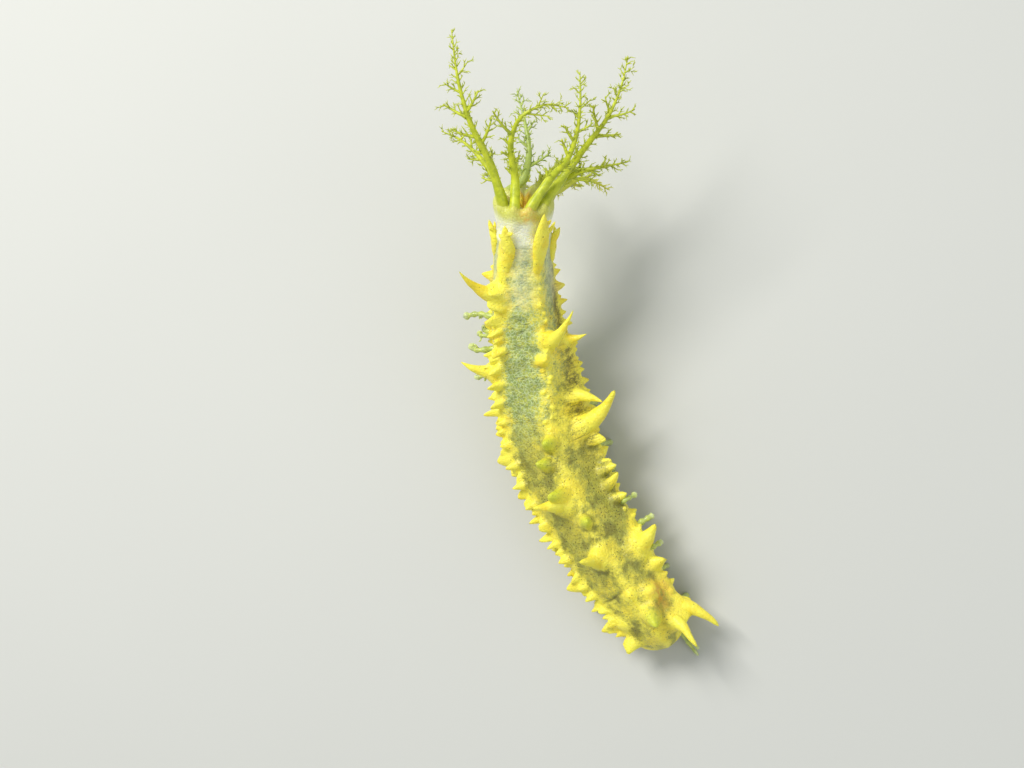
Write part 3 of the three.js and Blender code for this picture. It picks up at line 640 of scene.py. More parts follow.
class Paint:
    """A new material and its nodes, with a Principled surface."""

    def __init__(self, name):
        self.material = bpy.data.materials.new(name)
        self.material.use_nodes = True
        self.tree = self.material.node_tree
        self.surface = self.tree.nodes["Principled BSDF"]
        self.place = self.node("ShaderNodeTexCoord", output="Object")

    def feed(self, socket, value):
        """Links a wire to a socket, or sets the socket to a value."""
        if isinstance(value, Wire):
            self.tree.links.new(value.socket, socket)
        elif hasattr(value, "__len__") and socket.type == "RGBA":
            socket.default_value = (*value[:3], 1.0)
        else:
            socket.default_value = value

    def node(self, kind, settings=None, inputs=None, output=0):
        """A node of that kind: its settings first, then the values or links of its sockets."""
        node = self.tree.nodes.new(kind)
        for key, value in (settings or {}).items():
            setattr(node, key, value)
        for key, value in (inputs or {}).items():
            self.feed(node.inputs[key], value)
        return Wire(self, node.outputs[output])

    def mark(self, name):
        """The number stored at each point of the mesh under that name."""
        return self.node("ShaderNodeAttribute", {"attribute_name": name}, output="Fac")

    def noise(self, size, detail=3.0, rough=0.55):
        """Noise whose features are about that many millimetres wide."""
        inputs = {"Vector": self.place, "Scale": 1 / (size * MM), "Detail": detail, "Roughness": rough}
        return self.node("ShaderNodeTexNoise", None, inputs)

    def cells(self, size, feature="F1"):
        """Distance to the nearest cell point, or to the nearest cell edge, in cells that many millimetres
        wide."""
        inputs = {"Vector": self.place, "Scale": 1 / (size * MM), "Randomness": 1.0}
        return self.node("ShaderNodeTexVoronoi", {"feature": feature}, inputs, "Distance")

    def mix(self, share, first, second):
        """The first colour where share is 0, and the second where it is 1."""
        settings = {"data_type": "RGBA", "blend_type": "MIX", "clamp_factor": True}
        return self.node("ShaderNodeMix", settings, {0: share, 6: first, 7: second}, 2)

    def bumps(self, height, depth, under=None):
        """A normal from a height field, that many millimetres deep."""
        inputs = {"Height": height, "Distance": depth * MM, "Strength": 1.0}
        if under:
            inputs["Normal"] = under
        return self.node("ShaderNodeBump", None, inputs)

    def finish(self, **sockets):
        """Feeds the surface's sockets, named with underscores for spaces."""
        for key, value in sockets.items():
            self.feed(self.surface.inputs[key.replace("_", " ")], value)
        return self.material

    def flesh(self, tint, rough, relief, clear, blue, coat, coat_rough):
        """A wet surface that light enters: clear is the share that does, and blue is how far its blue gets
        beside the red."""
        return self.finish(Base_Color=tint, Roughness=rough, Normal=relief, Subsurface_Weight=clear,
                           Subsurface_Radius=(1.0, 0.9, blue), Subsurface_Scale=FLESH_DEPTH,
                           Coat_Weight=coat, Coat_Roughness=coat_rough)


def skin_material(colours):
    """Bright yellow rows and papillae that fade into a grey-green back with a net of pale lines, dark
    pepper and thin cross creases. The collar is milky, and the tail has an orange blush."""
    p = Paint("speckled_skin")
    yellow, tip, collar = p.mark("yellow"), p.mark("tip"), p.mark("collar")
    blush, dusk, rear = p.mark("blush"), p.mark("dusk"), p.mark("rear")
    bare = 1 - collar
    drift = p.noise(2.6, 4.0, 0.6)
    patch = p.noise(0.95, 5.0, 0.65)
    fine = p.noise(0.24, 3.0, 0.6)
    net = p.cells(0.46, "DISTANCE_TO_EDGE")

    # Thin creases run round the trunk, because their noise is stretched that way.
    ahead, round_ = p.mark("ahead") / 0.55, p.mark("round") / 3.0
    body = p.node("ShaderNodeCombineXYZ", None, {0: ahead, 1: round_, 2: drift})
    streaks = p.node("ShaderNodeTexNoise", None, {"Vector": body, "Scale": 1.0, "Detail": 2.0})
    creased = (drift.between(0.47, 0.58) * (0.5 - 0.3 * rear) + dusk).between(0.0, 0.8)
    creases = abs(streaks - 0.5).between(0.05, 0.012) * creased

    # The back between the rows, more olive towards the tail, and on the right flank brownish and darkened as painted
    # shade.
    back = p.mix(patch.between(0.36, 0.64), colours.back, colours.back_pale)
    back = p.mix(rear * 0.85, back, p.mix(drift.between(0.4, 0.6), colours.olive, colours.ochre))
    back = p.mix(net.between(0.16, 0.02) * (0.7 - 0.65 * rear), back, colours.net)
    murk = p.mix(rear, colours.murk, colours.murk_warm)
    back = p.mix(fine.between(0.5, 0.66) * (0.55 + 0.25 * rear), back, murk)
    back = p.mix(drift.between(0.5, 0.36) * (0.35 + 0.25 * rear), back, murk)
    # Painted shade: the right flank is darkened to a brownish colour, with paler patches, where it faces away from the
    # light.
    back = p.mix(dusk * 0.9, back, p.mix(patch.between(0.58, 0.44), colours.flank_tone_and_shade_pale, colours.dusk))

    # The yellow of the rows spreads over it with a ragged edge.
    bright = p.mix(drift.between(0.42, 0.66) * (0.75 - 0.3 * rear), colours.row, colours.row_warm)
    bright = p.mix((patch * fine).between(0.3, 0.42) * 0.4, bright, colours.row_pale)
    spread = yellow * 1.1 + dusk * 0.2 + (drift - 0.5) * 1.1 + (patch - 0.5) * 1.3
    spread = (spread + (fine - 0.5) * 0.7).between(0.1, 0.85)
    skin = p.mix(spread, back, bright)
    skin = p.mix(tip.between(0.4, 1.0) * 0.8, skin, colours.tip)

    # Dark pepper, single dots, creases and the fold of the tail.
    clusters = p.noise(1.5, 3.0).between(0.46, 0.56)
    pepper = p.cells(0.34).between(0.31, 0.17) * clusters * (0.3 + 0.7 * rear)
    dots = p.cells(0.9).between(0.13, 0.08)
    skin = p.mix(pepper * (1 - yellow * 0.8) * bare * 0.85, skin, colours.speck)
    skin = p.mix(dots * bare * (1 - tip) * 0.55, skin, colours.speck)
    skin = p.mix(creases * (1 - yellow) * bare * (0.75 - 0.2 * dusk), skin, colours.speck)
    skin = p.mix(p.mark("fold") * patch.between(0.3, 0.5) * 0.7, skin, colours.speck)

    skin = p.mix((collar + (patch - 0.5) * 0.9 * collar).between(0.15, 0.9), skin, colours.collar)
    skin = p.mix(p.mark("lime") * (0.75 + 0.25 * patch), skin, colours.lime)
    skin = p.mix(blush * patch.between(0.3, 0.65), skin, colours.blush)
    relief = p.bumps(patch * 0.5 + net.between(0.0, 0.2) * 0.5 - creases * 0.6, 0.07)
    relief = p.bumps(fine, 0.035, relief)
    rough = 0.42 + (fine - 0.5) * 0.25 - collar * 0.1
    return p.flesh(skin, rough, relief, clear=0.22, blue=0.25, coat=0.1, coat_rough=0.3)


def tentacle_material(colours):
    """Clear olive-yellow flesh, paler in the fine branches and warm at the foot of each trunk."""
    p = Paint("tentacle_flesh")
    fine, foot, pale = p.mark("fine"), p.mark("foot"), p.mark("pale")
    patch = p.noise(0.9, 4.0, 0.6)
    grainy = p.noise(0.16, 3.0, 0.6)
    flesh = p.mix(patch.between(0.35, 0.65), colours.flesh, colours.flesh_bright)
    flesh = p.mix(fine * 0.45, flesh, colours.fine)
    flesh = p.mix(pale * 0.75, flesh, colours.pale)
    flesh = p.mix(foot, flesh, colours.foot)
    flesh = p.mix(p.mark("milk"), flesh, colours.milk)
    flesh = p.mix(grainy.between(0.6, 0.75) * 0.2, flesh, colours.flesh_dark)
    relief = p.bumps(grainy, 0.03)
    return p.flesh(flesh, 0.4 + patch * 0.15, relief, clear=0.35, blue=0.2, coat=0.14, coat_rough=0.2)


def foot_material(colours):
    """Pale, clear greenish flesh with a whiter sucker at its end."""
    p = Paint("tube_foot_flesh")
    end = p.mark("end")
    patch = p.noise(0.7, 3.0, 0.6)
    grainy = p.noise(0.15, 3.0, 0.6)
    flesh = p.mix(patch.between(0.35, 0.65), colours.flesh, colours.flesh_yellow)
    flesh = p.mix(end, flesh, colours.sucker)
    relief = p.bumps(grainy, 0.03)
    return p.flesh(flesh, 0.3 + patch * 0.15, relief, clear=0.5, blue=0.4, coat=0.2, coat_rough=0.2)


def floor_material(colour):
    """A plain pale matt surface with a trace of unevenness."""
    p = Paint("pale_floor")
    cloud = p.noise(60.0, 2.0)
    shade = tuple(0.96 * v for v in colour)
    return p.finish(Base_Color=p.mix(cloud, colour, shade), Roughness=0.85)


# Settings

def colour(name, description, red, green, blue):
    """A colour setting whose default is given by its screen values."""
    return FloatVectorProperty(name=name, description=description, subtype="COLOR", size=3, min=0.0, max=1.0,
                               default=linear(red, green, blue))


def whole(name, description, default, least):
    """A whole number, at least as large as the last value."""
    return IntProperty(name=name, description=description, default=default, min=least)


def millimetres(name, description, default):
    """A length in millimetres."""
    return FloatProperty(name=name, description=description + ", in millimetres", default=default, min=0.05)


def watts(name, description, default):
    """A lamp's power in watts."""
    return FloatProperty(name=name, description=description + ", in watts", default=default, min=0.0)


class SkinSettings(PropertyGroup):
    """Sizes and colours of the trunk's skin."""

    rings: whole("Rings", "Rings of the skin from the tail to the rim", 352, 60)
    columns: whole("Columns", "Points round each ring", 238, 48)
    lump: millimetres("Lumps", "Height of the skin's lumps", 0.13)
    row: colour("Rows", "Rows, papillae and valves", 255, 243, 84)
    row_warm: colour("Warm rows", "Warmer parts of the rows", 252, 222, 46)
    row_pale: colour("Pale rows", "Paler flecks of the rows", 248, 244, 130)
    tip: colour("Papilla tips", "Ends of the large papillae", 200, 214, 56)
    back: colour("Back", "Back between the rows", 148, 168, 98)
    back_pale: colour("Pale back", "Yellower cells of the back", 200, 207, 92)
    net: colour("Net", "Net of fine lines on the back", 206, 220, 166)
    murk: colour("Murk", "Fine dark mottling", 102, 108, 44)
    murk_warm: colour("Warm murk", "Fine dark mottling towards the tail", 122, 112, 40)
    olive: colour("Olive", "Duller back towards the tail", 164, 164, 66)
    ochre: colour("Ochre", "Yellower back towards the tail", 196, 186, 64)
    # The right flank's colours: a brownish tone darkened as painted shade, with paler patches.
    flank_tone_and_shade_pale: colour("Pale dusk", "Paler patches of the right flank", 188, 172, 48)
    dusk: colour("Dusk", "Brownish shade of the right flank", 132, 120, 26)
    speck: colour("Specks", "Dark dots and creases", 44, 46, 16)
    blush: colour("Blush", "Orange blush of the tail and mouth", 216, 158, 56)
    lime: colour("Lime", "Sleeves at the feet of the tentacles", 204, 206, 62)
    collar: colour("Collar", "Milky collar below the tentacles", 246, 249, 222)


class FootSettings(PropertyGroup):
    """Sizes and colours of the tube feet."""

    sides: whole("Sides", "Points round each foot", 12, 5)
    flesh: colour("Flesh", "Tube feet", 170, 184, 104)
    flesh_yellow: colour("Yellow flesh", "Yellower parts of the feet", 200, 212, 104)
    sucker: colour("Sucker", "Disc at the end of each foot", 206, 218, 150)


class TentacleSettings(PropertyGroup):
    """Sizes and colours of the tentacles."""

    root_radius: millimetres("Root radius", "Radius at the collar", 0.68)
    twig_length: millimetres("Twig length", "Longest twig", 1.35)
    twig_spacing: millimetres("Twig spacing", "Distance between twigs", 0.42)
    flesh: colour("Flesh", "Trunks and branches", 172, 184, 28)
    flesh_bright: colour("Bright flesh", "Brighter parts of the trunks", 206, 214, 42)
    flesh_dark: colour("Dark flesh", "Fine dark grain", 120, 132, 18)
    fine: colour("Fine branches", "Twigs at the ends", 174, 190, 90)
    pale: colour("Pale tentacles", "The paler tentacles behind", 176, 198, 120)
    milk: colour("Milky foot", "Foot of the trunks where they leave the collar", 206, 208, 72)
    foot: colour("Foot of trunks", "Yellow at the collar", 190, 194, 48)


class StageSettings(PropertyGroup):
    """Floor, lights and camera."""

    floor: colour("Floor", "Floor", 206, 207, 203)
    key: watts("Key light", "Power of the main light", 1.55)
    fill: watts("Fill light", "Power of the softer light on the right", 0.3)
    elevation: FloatProperty(name="Elevation", description="Height of the camera above the horizon",
                             default=math.radians(CAMERA_ELEVATION), subtype="ANGLE")


class AnimalSettings(PropertyGroup):
    """All settings of the sea cucumber."""

    skin: PointerProperty(type=SkinSettings)
    feet: PointerProperty(type=FootSettings)
    tentacles: PointerProperty(type=TentacleSettings)
    stage: PointerProperty(type=StageSettings)


# The skin

def papilla_kind(row, t, length):
    """LONG for a horn of its own on a low foot, GREEN for a short one in the rear part of the right row of
    the back, or SHORT."""
    if length > LONG_FROM:
        return LONG
    return GREEN if row == "right_back" and t < GREEN_UP_TO else SHORT


def papilla_list():
    """Every papilla as station, angle, length, root radius, lean forward, lean sideways and kind, which is
    0 for the small ones. These stand in uneven files, and those at the foot of a large one are left out."""
    large = np.array([
        (t, row_angle(row, t) + off, length, root, lean, aside, papilla_kind(row, t, length))
        for row, t, off, length, root, lean, aside in LARGE_PAPILLAE
    ])
    small = []
    for number, (row, first, last, many, greatest, spread) in enumerate(PAPILLA_FILES):
        i = np.arange(many)
        wart = number >= WARTS_FROM
        n = 10000 + 500 * number + i if wart else 100 * number + i
        t = first + (last - first) * (i + 0.6 * vary(n)) / many
        off = (0 if wart else np.where(i % 2, 7, -6)) + spread * (vary(n + 0.3) - 0.5)
        length = greatest * (0.5 + 0.5 * vary(n + 0.6))
        lean = 0.5 * (vary(n + 0.9) - 0.4)
        root = (WART_ROOT if wart else SMALL_ROOT) + ROOT_GAIN * length
        small.append(np.stack([t, row_angle(row, t) + off, length, root, lean, 0 * t, 0 * t], -1))
    small = np.concatenate(small)
    apart = np.hypot((small[:, None, 0] - large[None, :, 0]) * SPACING,
                     turn_between(small[:, None, 1], large[None, :, 1]) * PER_DEGREE)
    kept = small[np.all(apart > CLEARANCE * large[:, 3], axis=1)]
    swellings = [
        (t, row_angle(row, t) + off, length, root, 0, 0, 0) for row, t, off, length, root in SWELLINGS
    ]
    return np.concatenate([large, kept, swellings])


def raise_papillae(t, angle, radius):
    """How far each point of the skin is pushed out, how high up a papilla it is, and how green. With q the
    distance from a papilla's middle over its reach, a sharp one's height is its length times (1-q)^1.4
    (1+0.9q), a blunt one's times (1-q^2)^2, and others lie between. Under a long one the skin only rises to
    its foot. The push turns from straight out towards the papilla's lean as it rises."""
    push = np.zeros((*radius.shape, 3))
    height = np.zeros(radius.shape)
    tips = np.zeros(radius.shape)
    for centre, turn, length, root, lean, aside, kind in papilla_list():
        long, green = kind == LONG, kind == GREEN
        reach = (LONG_REACH if long else REACH) * root
        near = np.nonzero(np.abs(t - centre) * SPACING < reach)[0]
        if len(near) == 0:
            continue
        band = slice(near[0], near[-1] + 1)
        ahead = (t[band, None] - centre) * SPACING
        across = np.radians(turn_between(angle[None], turn)) * radius[band]
        q = np.minimum(np.hypot(ahead, across) / reach, 1)
        blunt = 1.0 if long else 0.75 if green else 0.4
        lift = (1 - blunt) * (1 - q) ** 1.4 * (1 + 0.9 * q) + blunt * (1 - q * q) ** 2
        raised = FOOT_SHARE if long else 1
        _, out, forward, round_ = skin_at(centre, turn)
        way = unit(out + lean * forward + aside * round_)
        turned = (TURN_AT_ROOT + TURN_GAIN * lift * raised)[..., None]
        push[band] += length * raised * lift[..., None] * ((1 - turned) * out + turned * way)
        height[band] = np.maximum(height[band], lift * (0.3 if green else min(1.0, 0.35 + length)))
        if kind and not long:
            tips[band] = np.maximum(tips[band], lift**0.5 if green else 0.55 * lift)
    return push, height, tips


def skin_grid(rings, columns):
    """Stations of the rings, closer together at the tail by an exponential, and angles of the columns,
    closer together at the rows: even steps of the running sum of a density with a bell at each row."""
    u = np.linspace(0, 1, rings)
    t = LAST * (u - TAIL_CROWDING * np.exp(-u / TAIL_CROWDING))
    t = (t - t[0]) / (t[-1] - t[0]) * (LAST - FIRST_RING) + FIRST_RING
    even = np.linspace(-180, 180, 2001)
    rows = sum(bell(turn_between(even, row_angle(row, LAST / 2)), ROW_BELL) for row in ROWS if row != "belly")
    density = 1 + ROW_CROWDING * rows
    share = np.concatenate([[0], np.cumsum((density[1:] + density[:-1]) / 2)])
    return t, np.interp(np.arange(columns) / columns, share / share[-1], even)


def tail_fold(here, turn, points):
    """1 in the cross fold of the tail: a bell along the trunk, about a slightly wavy line, times one round
    it."""
    line = 1.64 + 0.0006 * turn + 0.03 * grain(points, 1.5, 8)
    return bell((here - line) * SPACING, 0.16) * bell(turn - 4, 34)


def skin_creases(here, turn, points):
    """1 in the fine cross creases: where noise stretched round the trunk is near 0, in patches."""
    stretched = np.stack(np.broadcast_arrays(here * SPACING, turn / 24, 0.0), -1)
    line = 1 - smooth(np.abs(grain(stretched, 0.62, 3)), 0.0, 0.16)
    return line * smooth(grain(points, 4.0, 5), -0.1, 0.45)


def row_strength(here, turn):
    """How much each point belongs to the rows: a sum of bells round them. The bells of the right side shift
    and widen towards the tail."""
    tailward, last = smooth(here, 6.0, 4.0), smooth(here, 3.3, 2.2)
    bands = (
        ("left_back", -4, 20, 1.0),
        ("right_back", 2, 21, 0.56 + 0.04 * tailward),
        ("left_side", 0, 22, 0.9),
        ("right_side", 8 * tailward - 14 * last, 12 + 10 * last, 0.9),
        ("belly", 0, 22, 0.5),
    )
    return sum(bell(turn_between(turn, row_angle(row, here) + aside), width) * share
               for row, aside, width, share in bands)


def trunk_marks(here, turn, radius, rows, height):
    """The trunk's marks, as smooth steps along it and bells round it: yellow on the rows and papillae and
    more thinly on the tail, the front of the back and the upper right flank; on the right flank a brownish
    tone darkened as painted shade, where that side faces away from the light; rear towards the tail, blush
    on the right of the tail, and collar where the back pales towards the rim."""
    yellow = rows * 0.85 + 1.4 * height**1.4 + 0.4 * bell(turn + 5, 40) * smooth(here, 2.4, 1.3)
    yellow = yellow + 0.34 * bell(turn + 3, 40) * smooth(here, 8.1, 8.9)
    yellow = yellow + 0.3 * bell(turn - 66, 20) * (smooth(here, 4.4, 5.4) * smooth(here, 8.6, 7.6))
    pale = 0.44 * smooth(here, 8.0, 8.9) + 0.1 * smooth(here, 9.6, 10.0)
    return {
        "yellow": np.clip(yellow, 0, 1),
        # painted shade: the right flank, which faces away from the light, is darkened here over its brownish tone
        "dusk": bell(turn_between(turn, 90), 19) * (smooth(here, 4.2, 5.6) * smooth(here, 9.9, 8.8)),
        "rear": smooth(here - 1.3 * bell(turn_between(turn, 78), 32), 6.6, 4.8),
        "blush": bell(np.hypot((here - 1.2) * SPACING, turn_between(turn, 84) * 0.08), 1.7),
        "collar": pale * (1 - 0.8 * np.clip(rows[-1], 0, 1)),
        "ahead": here * SPACING,
        "round": np.radians(turn) * radius,
    }


def collar_profile():
    """Heights and radii along the collar, evenly spaced on straight lines between its points and then
    smoothed three times by the mean of neighbours, with the middle one counted twice."""
    profile = evenly(COLLAR_PROFILE, COLLAR_RINGS)
    for _ in range(3):
        profile[1:-1] = (profile[:-2] + 2 * profile[1:-1] + profile[2:]) / 4
    return profile


def collar_rings(rim_radius, turn):
    """Points of the collar with their heights, and 1 inside the mouth: the rim's radius blends into the
    profile's in the first millimetre, and the edge swells at each tentacle by the cosine of ten times the
    angle."""
    profile = collar_profile()[1:-1]
    high, wide = profile[:, :1], profile[:, 1:]
    past_edge = np.arange(len(profile))[:, None] > np.argmax(profile[:, 0])
    blend = np.where(past_edge, 1.0, smooth(high, 0.0, 1.0) * (wide > 0))
    seats = np.cos(np.radians(10 * (turn - 18)))
    scallop = 0.3 * seats * smooth(high, 3.0, 5.2)
    sleeves = ((1 + seats) / 2) ** 1.5
    girth = rim_radius * (1 - blend) + wide * blend
    girth = girth + 0.2 * sleeves * smooth(high, 1.4, 3.4) * smooth(wide, 1.8, 2.8)
    a = np.radians(turn)[..., None]
    ring = CROWN_BACK * np.cos(a) + CROWN_RIGHT * np.sin(a)
    points = RIM + CROWN_FORWARD * (high + scallop)[..., None] + ring * girth[..., None]
    points = points + ring * (0.05 * grain(points, 0.9, 7) * smooth(wide, 0.1, 0.8))[..., None]
    return points, high, smooth(wide, 2.4, 1.2) * past_edge


def collar_marks(high, inside, turn, ridge):
    """The collar's marks: milky above the rim and lime at the feet of the tentacles. The rows' yellow runs
    on for a millimetre, and orange lies inside the mouth and in front of it."""
    glow = bell(turn_between(turn, 12), 20) * smooth(high, 2.9, 4.6)
    milky = (0.54 + 0.46 * smooth(high, 0.0, 1.4)) * (1 - 0.8 * ridge * (1 - smooth(high, 0.0, 1.2)))
    return {
        "yellow": np.clip(ridge * (1 - smooth(high, 0.2, 1.4)) + inside, 0, 1),
        "lime": smooth(high, 2.8, 4.7) * (1 - inside),
        "blush": np.maximum(inside, 0.75 * glow),
        "collar": milky * (1 - 0.9 * inside),
    }


def yellow_marks(tip):
    """The skin's marks for a piece that is yellow all over, from how green it is at each point."""
    return {name: {"yellow": 1 + 0 * tip, "tip": tip}.get(name, 0 * tip) for name in SKIN_MARKS}


class SEACUCUMBER_OT_skin(Operator):
    """One closed skin over the trunk and the collar, with all its papillae"""

    bl_idname = "sea_cucumber.skin"
    bl_label = "Skin"

    def execute(self, context):
        settings = context.scene.sea_cucumber.skin
        t, angle = skin_grid(settings.rings, settings.columns)
        here, turn = t[:, None], angle[None]
        points, out, _, _ = skin_at(here, turn)
        radius = radius_at(here, turn)
        push, height, tips = raise_papillae(t, angle, radius)
        fold = tail_fold(here, turn, points)
        lump = grain(points, 2.1, 1) + 0.55 * grain(points, 0.95, 2) + 0.2 * grain(points, 0.45, 4)
        offset = settings.lump * lump * smooth(here, 0.0, 0.25)
        offset = offset - 0.05 * skin_creases(here, turn, points) * (1 - height) - 0.18 * fold
        points = points + push + out * offset[..., None]
        points[..., 2] = np.maximum(points[..., 2], LOWEST_SKIN)

        rows = row_strength(here, turn)
        trunk = {"tip": tips, "fold": fold, **trunk_marks(here, turn, radius, rows, height)}
        head, high, inside = collar_rings(radius[-1], turn)
        top = collar_marks(high, inside, turn, np.clip(rows[-1], 0, 1))
        marks = {}
        for name in SKIN_MARKS:
            values = np.concatenate([np.broadcast_to(trunk.get(name, 0.0), radius.shape),
                                     np.broadcast_to(top.get(name, 0.0), head.shape[:2])])
            marks[name] = np.concatenate([values.ravel(), values[0, :1], values[-1, :1]])
        mouth = RIM + CROWN_FORWARD * COLLAR_PROFILE[-1, 0]
        grid = closed_grid(np.concatenate([points, head]), frame_at(0.0)[0], mouth)
        make_piece("trunk_skin", *grid, marks, skin_material(settings), "skin", "body_tail", "body_rear",
                   "body_middle", "body_fore", "body_neck", "mouth_collar")
        return {"FINISHED"}


# Large papillae and valves

def horn_rings(number, papilla, share, a):
    """Rings of a long papilla. Its middle line turns from straight out towards its lean, with a slight
    bend. Its radius narrows in a straight line, with a sine of slight swellings, and closes by a square
    root at the tip."""
    row, t, off, length, root, lean, aside = papilla
    point, out, forward, round_ = skin_at(t, row_angle(row, t) + off)
    way = unit(out + lean * forward + aside * round_)
    blunt = smooth(t, 7.0, 5.0)
    turned = (TURN_AT_ROOT + TURN_GAIN * share)[:, None]
    path = point + length * share[:, None] * ((1 - turned) * out + turned * way)
    bend = 0.03 * length * np.sin(5 * share + 2 * number) * smooth(share, 0.3, 0.7)
    path = path + bend[:, None] * unit(np.cross(way, forward))
    ahead = unit(np.gradient(path, axis=0))
    side = unit(np.cross(ahead, forward))
    front = np.cross(side, ahead)
    close = np.sqrt(np.clip((1 - share) * length / (0.15 + 0.35 * blunt), 0, 1))
    wide = root * ((0.78 - 0.1 * blunt) * (1 - share) + 0.1 * blunt + 0.03) * close
    wide = wide * (1 + 0.04 * np.sin(9 * share + number))
    ring = side[:, None] * np.cos(a)[:, None] + front[:, None] * np.sin(a)[:, None]
    ring = path[:, None] + ring * wide[:, None, None]
    return ring + out * (0.06 * grain(ring, 0.9, 6) * smooth(1 - share, 0.0, 0.3)[:, None])[..., None]


class SEACUCUMBER_OT_horns(Operator):
    """The large papillae, each a horn whose root is in a low foot of the skin"""

    bl_idname = "sea_cucumber.horns"
    bl_label = "Large papillae"

    def execute(self, context):
        share = np.linspace(HORN_START, 1, HORN_STEPS)
        rings = np.array([
            horn_rings(number, papilla, share, even_turn(HORN_SIDES))
            for number, papilla in enumerate(LARGE_PAPILLAE)
            if papilla_kind(papilla[0], papilla[1], papilla[3]) == LONG
        ])
        grid = closed_grid(rings, rings[:, 0].mean(1), rings[:, -1].mean(1))
        marks = yellow_marks(0.62 * per_point(share, HORN_SIDES, len(rings)))
        make_piece("large_papillae", *grid, marks, bpy.data.materials["speckled_skin"], "skin")
        return {"FINISHED"}


def flap_rings(stops, broad_way, half_width, thickness, widths):
    """A flattened cone along the curve through some points: an ellipse at each step, whose share of the
    full width comes from a table. Returns its rings and its middle line."""
    s = np.linspace(0, 1, FLAP_STEPS)
    a = even_turn(FLAP_SIDES)
    path = curve_through(np.array(stops), FLAP_STEPS)
    way = unit(np.gradient(path, axis=0))
    thin = unit(np.cross(way, broad_way))
    broad = np.cross(thin, way)
    share = np.interp(s, *widths)[:, None]
    ring = (path[:, None] + thin[:, None] * (share * thickness * np.cos(a))[..., None]
            + broad[:, None] * (share * half_width * np.sin(a))[..., None])
    return ring + thin[:, None] * (0.1 * grain(ring, 0.7, 9) * share)[..., None], path


class SEACUCUMBER_OT_valves(Operator):
    """Five lobed flaps round the rim of the mouth end"""

    bl_idname = "sea_cucumber.valves"
    bl_label = "Oral valves"

    def execute(self, context):
        rings = []
        for row, length, turn, half_width, spurs in VALVES:
            deep, shallow = VALVE_ROOTS
            under, under_out, _, _ = skin_at(deep, row_angle(row, deep))
            low, low_out, _, _ = skin_at(shallow, (row_angle(row, shallow) + turn) / 2)
            rim, out, forward, side = skin_at(LAST - 0.05, turn)
            stops = (under - 0.9 * under_out, low - 0.35 * low_out, rim + 0.05 * out,
                     rim + 0.45 * out + 0.4 * length * forward, rim + 0.75 * out + 0.78 * length * forward,
                     rim + 0.9 * out + length * forward)
            flap, path = flap_rings(stops, side, half_width, VALVE_THICKNESS, VALVE_WIDTHS)
            rings.append(flap)
            for share, aside, reach in spurs:
                root = path[int(share * (FLAP_STEPS - 1))]
                aim = side * aside
                edge = root + 0.75 * half_width * aim
                way = 0.6 * aim + 0.8 * forward
                stops = (root - 0.3 * reach * forward, root + 0.3 * half_width * aim,
                         edge + 0.45 * reach * way, edge + reach * way)
                spur, _ = flap_rings(stops, side, SPUR_HALF_WIDTH, SPUR_THICKNESS, SPUR_WIDTHS)
                rings.append(spur)
        rings = np.array(rings)
        grid = closed_grid(rings, rings[:, 0].mean(1), rings[:, -1].mean(1) + 0.04 * CROWN_FORWARD)
        far = per_point(np.linspace(0, 1, FLAP_STEPS), FLAP_SIDES, len(rings))
        marks = yellow_marks(0.5 * smooth(far, 0.9, 1.0))
        make_piece("oral_valves", *grid, marks, bpy.data.materials["speckled_skin"], "skin")
        return {"FINISHED"}


# Tube feet

def standing_foot(point, out, aside, spread):
    """Stops of a foot that goes from inside the skin over a raised knee to the floor, that far to the
    side."""
    end = np.array([*(point + spread * aside)[:2], SOLE])
    knee = (point + end) / 2 + 0.3 * aside
    knee[2] = max(knee[2] + 0.25, 0.45)
    return np.array([point - FOOT_DEPTH * out, point, knee, end + np.array([0, 0, 0.3]), end])


def hanging_foot(point, out, aside, length, sway):
    """Stops of a foot that goes out and aside from the skin in a slight S, and sinks by a quarter of its
    length."""
    end = point + 0.5 * length * (out + aside) - np.array([0, 0, 0.25 * length]) + sway
    knee = point + 0.5 * length * (0.7 * out + 0.4 * aside) - sway
    return np.array([point - FOOT_DEPTH * out, point, knee, end])


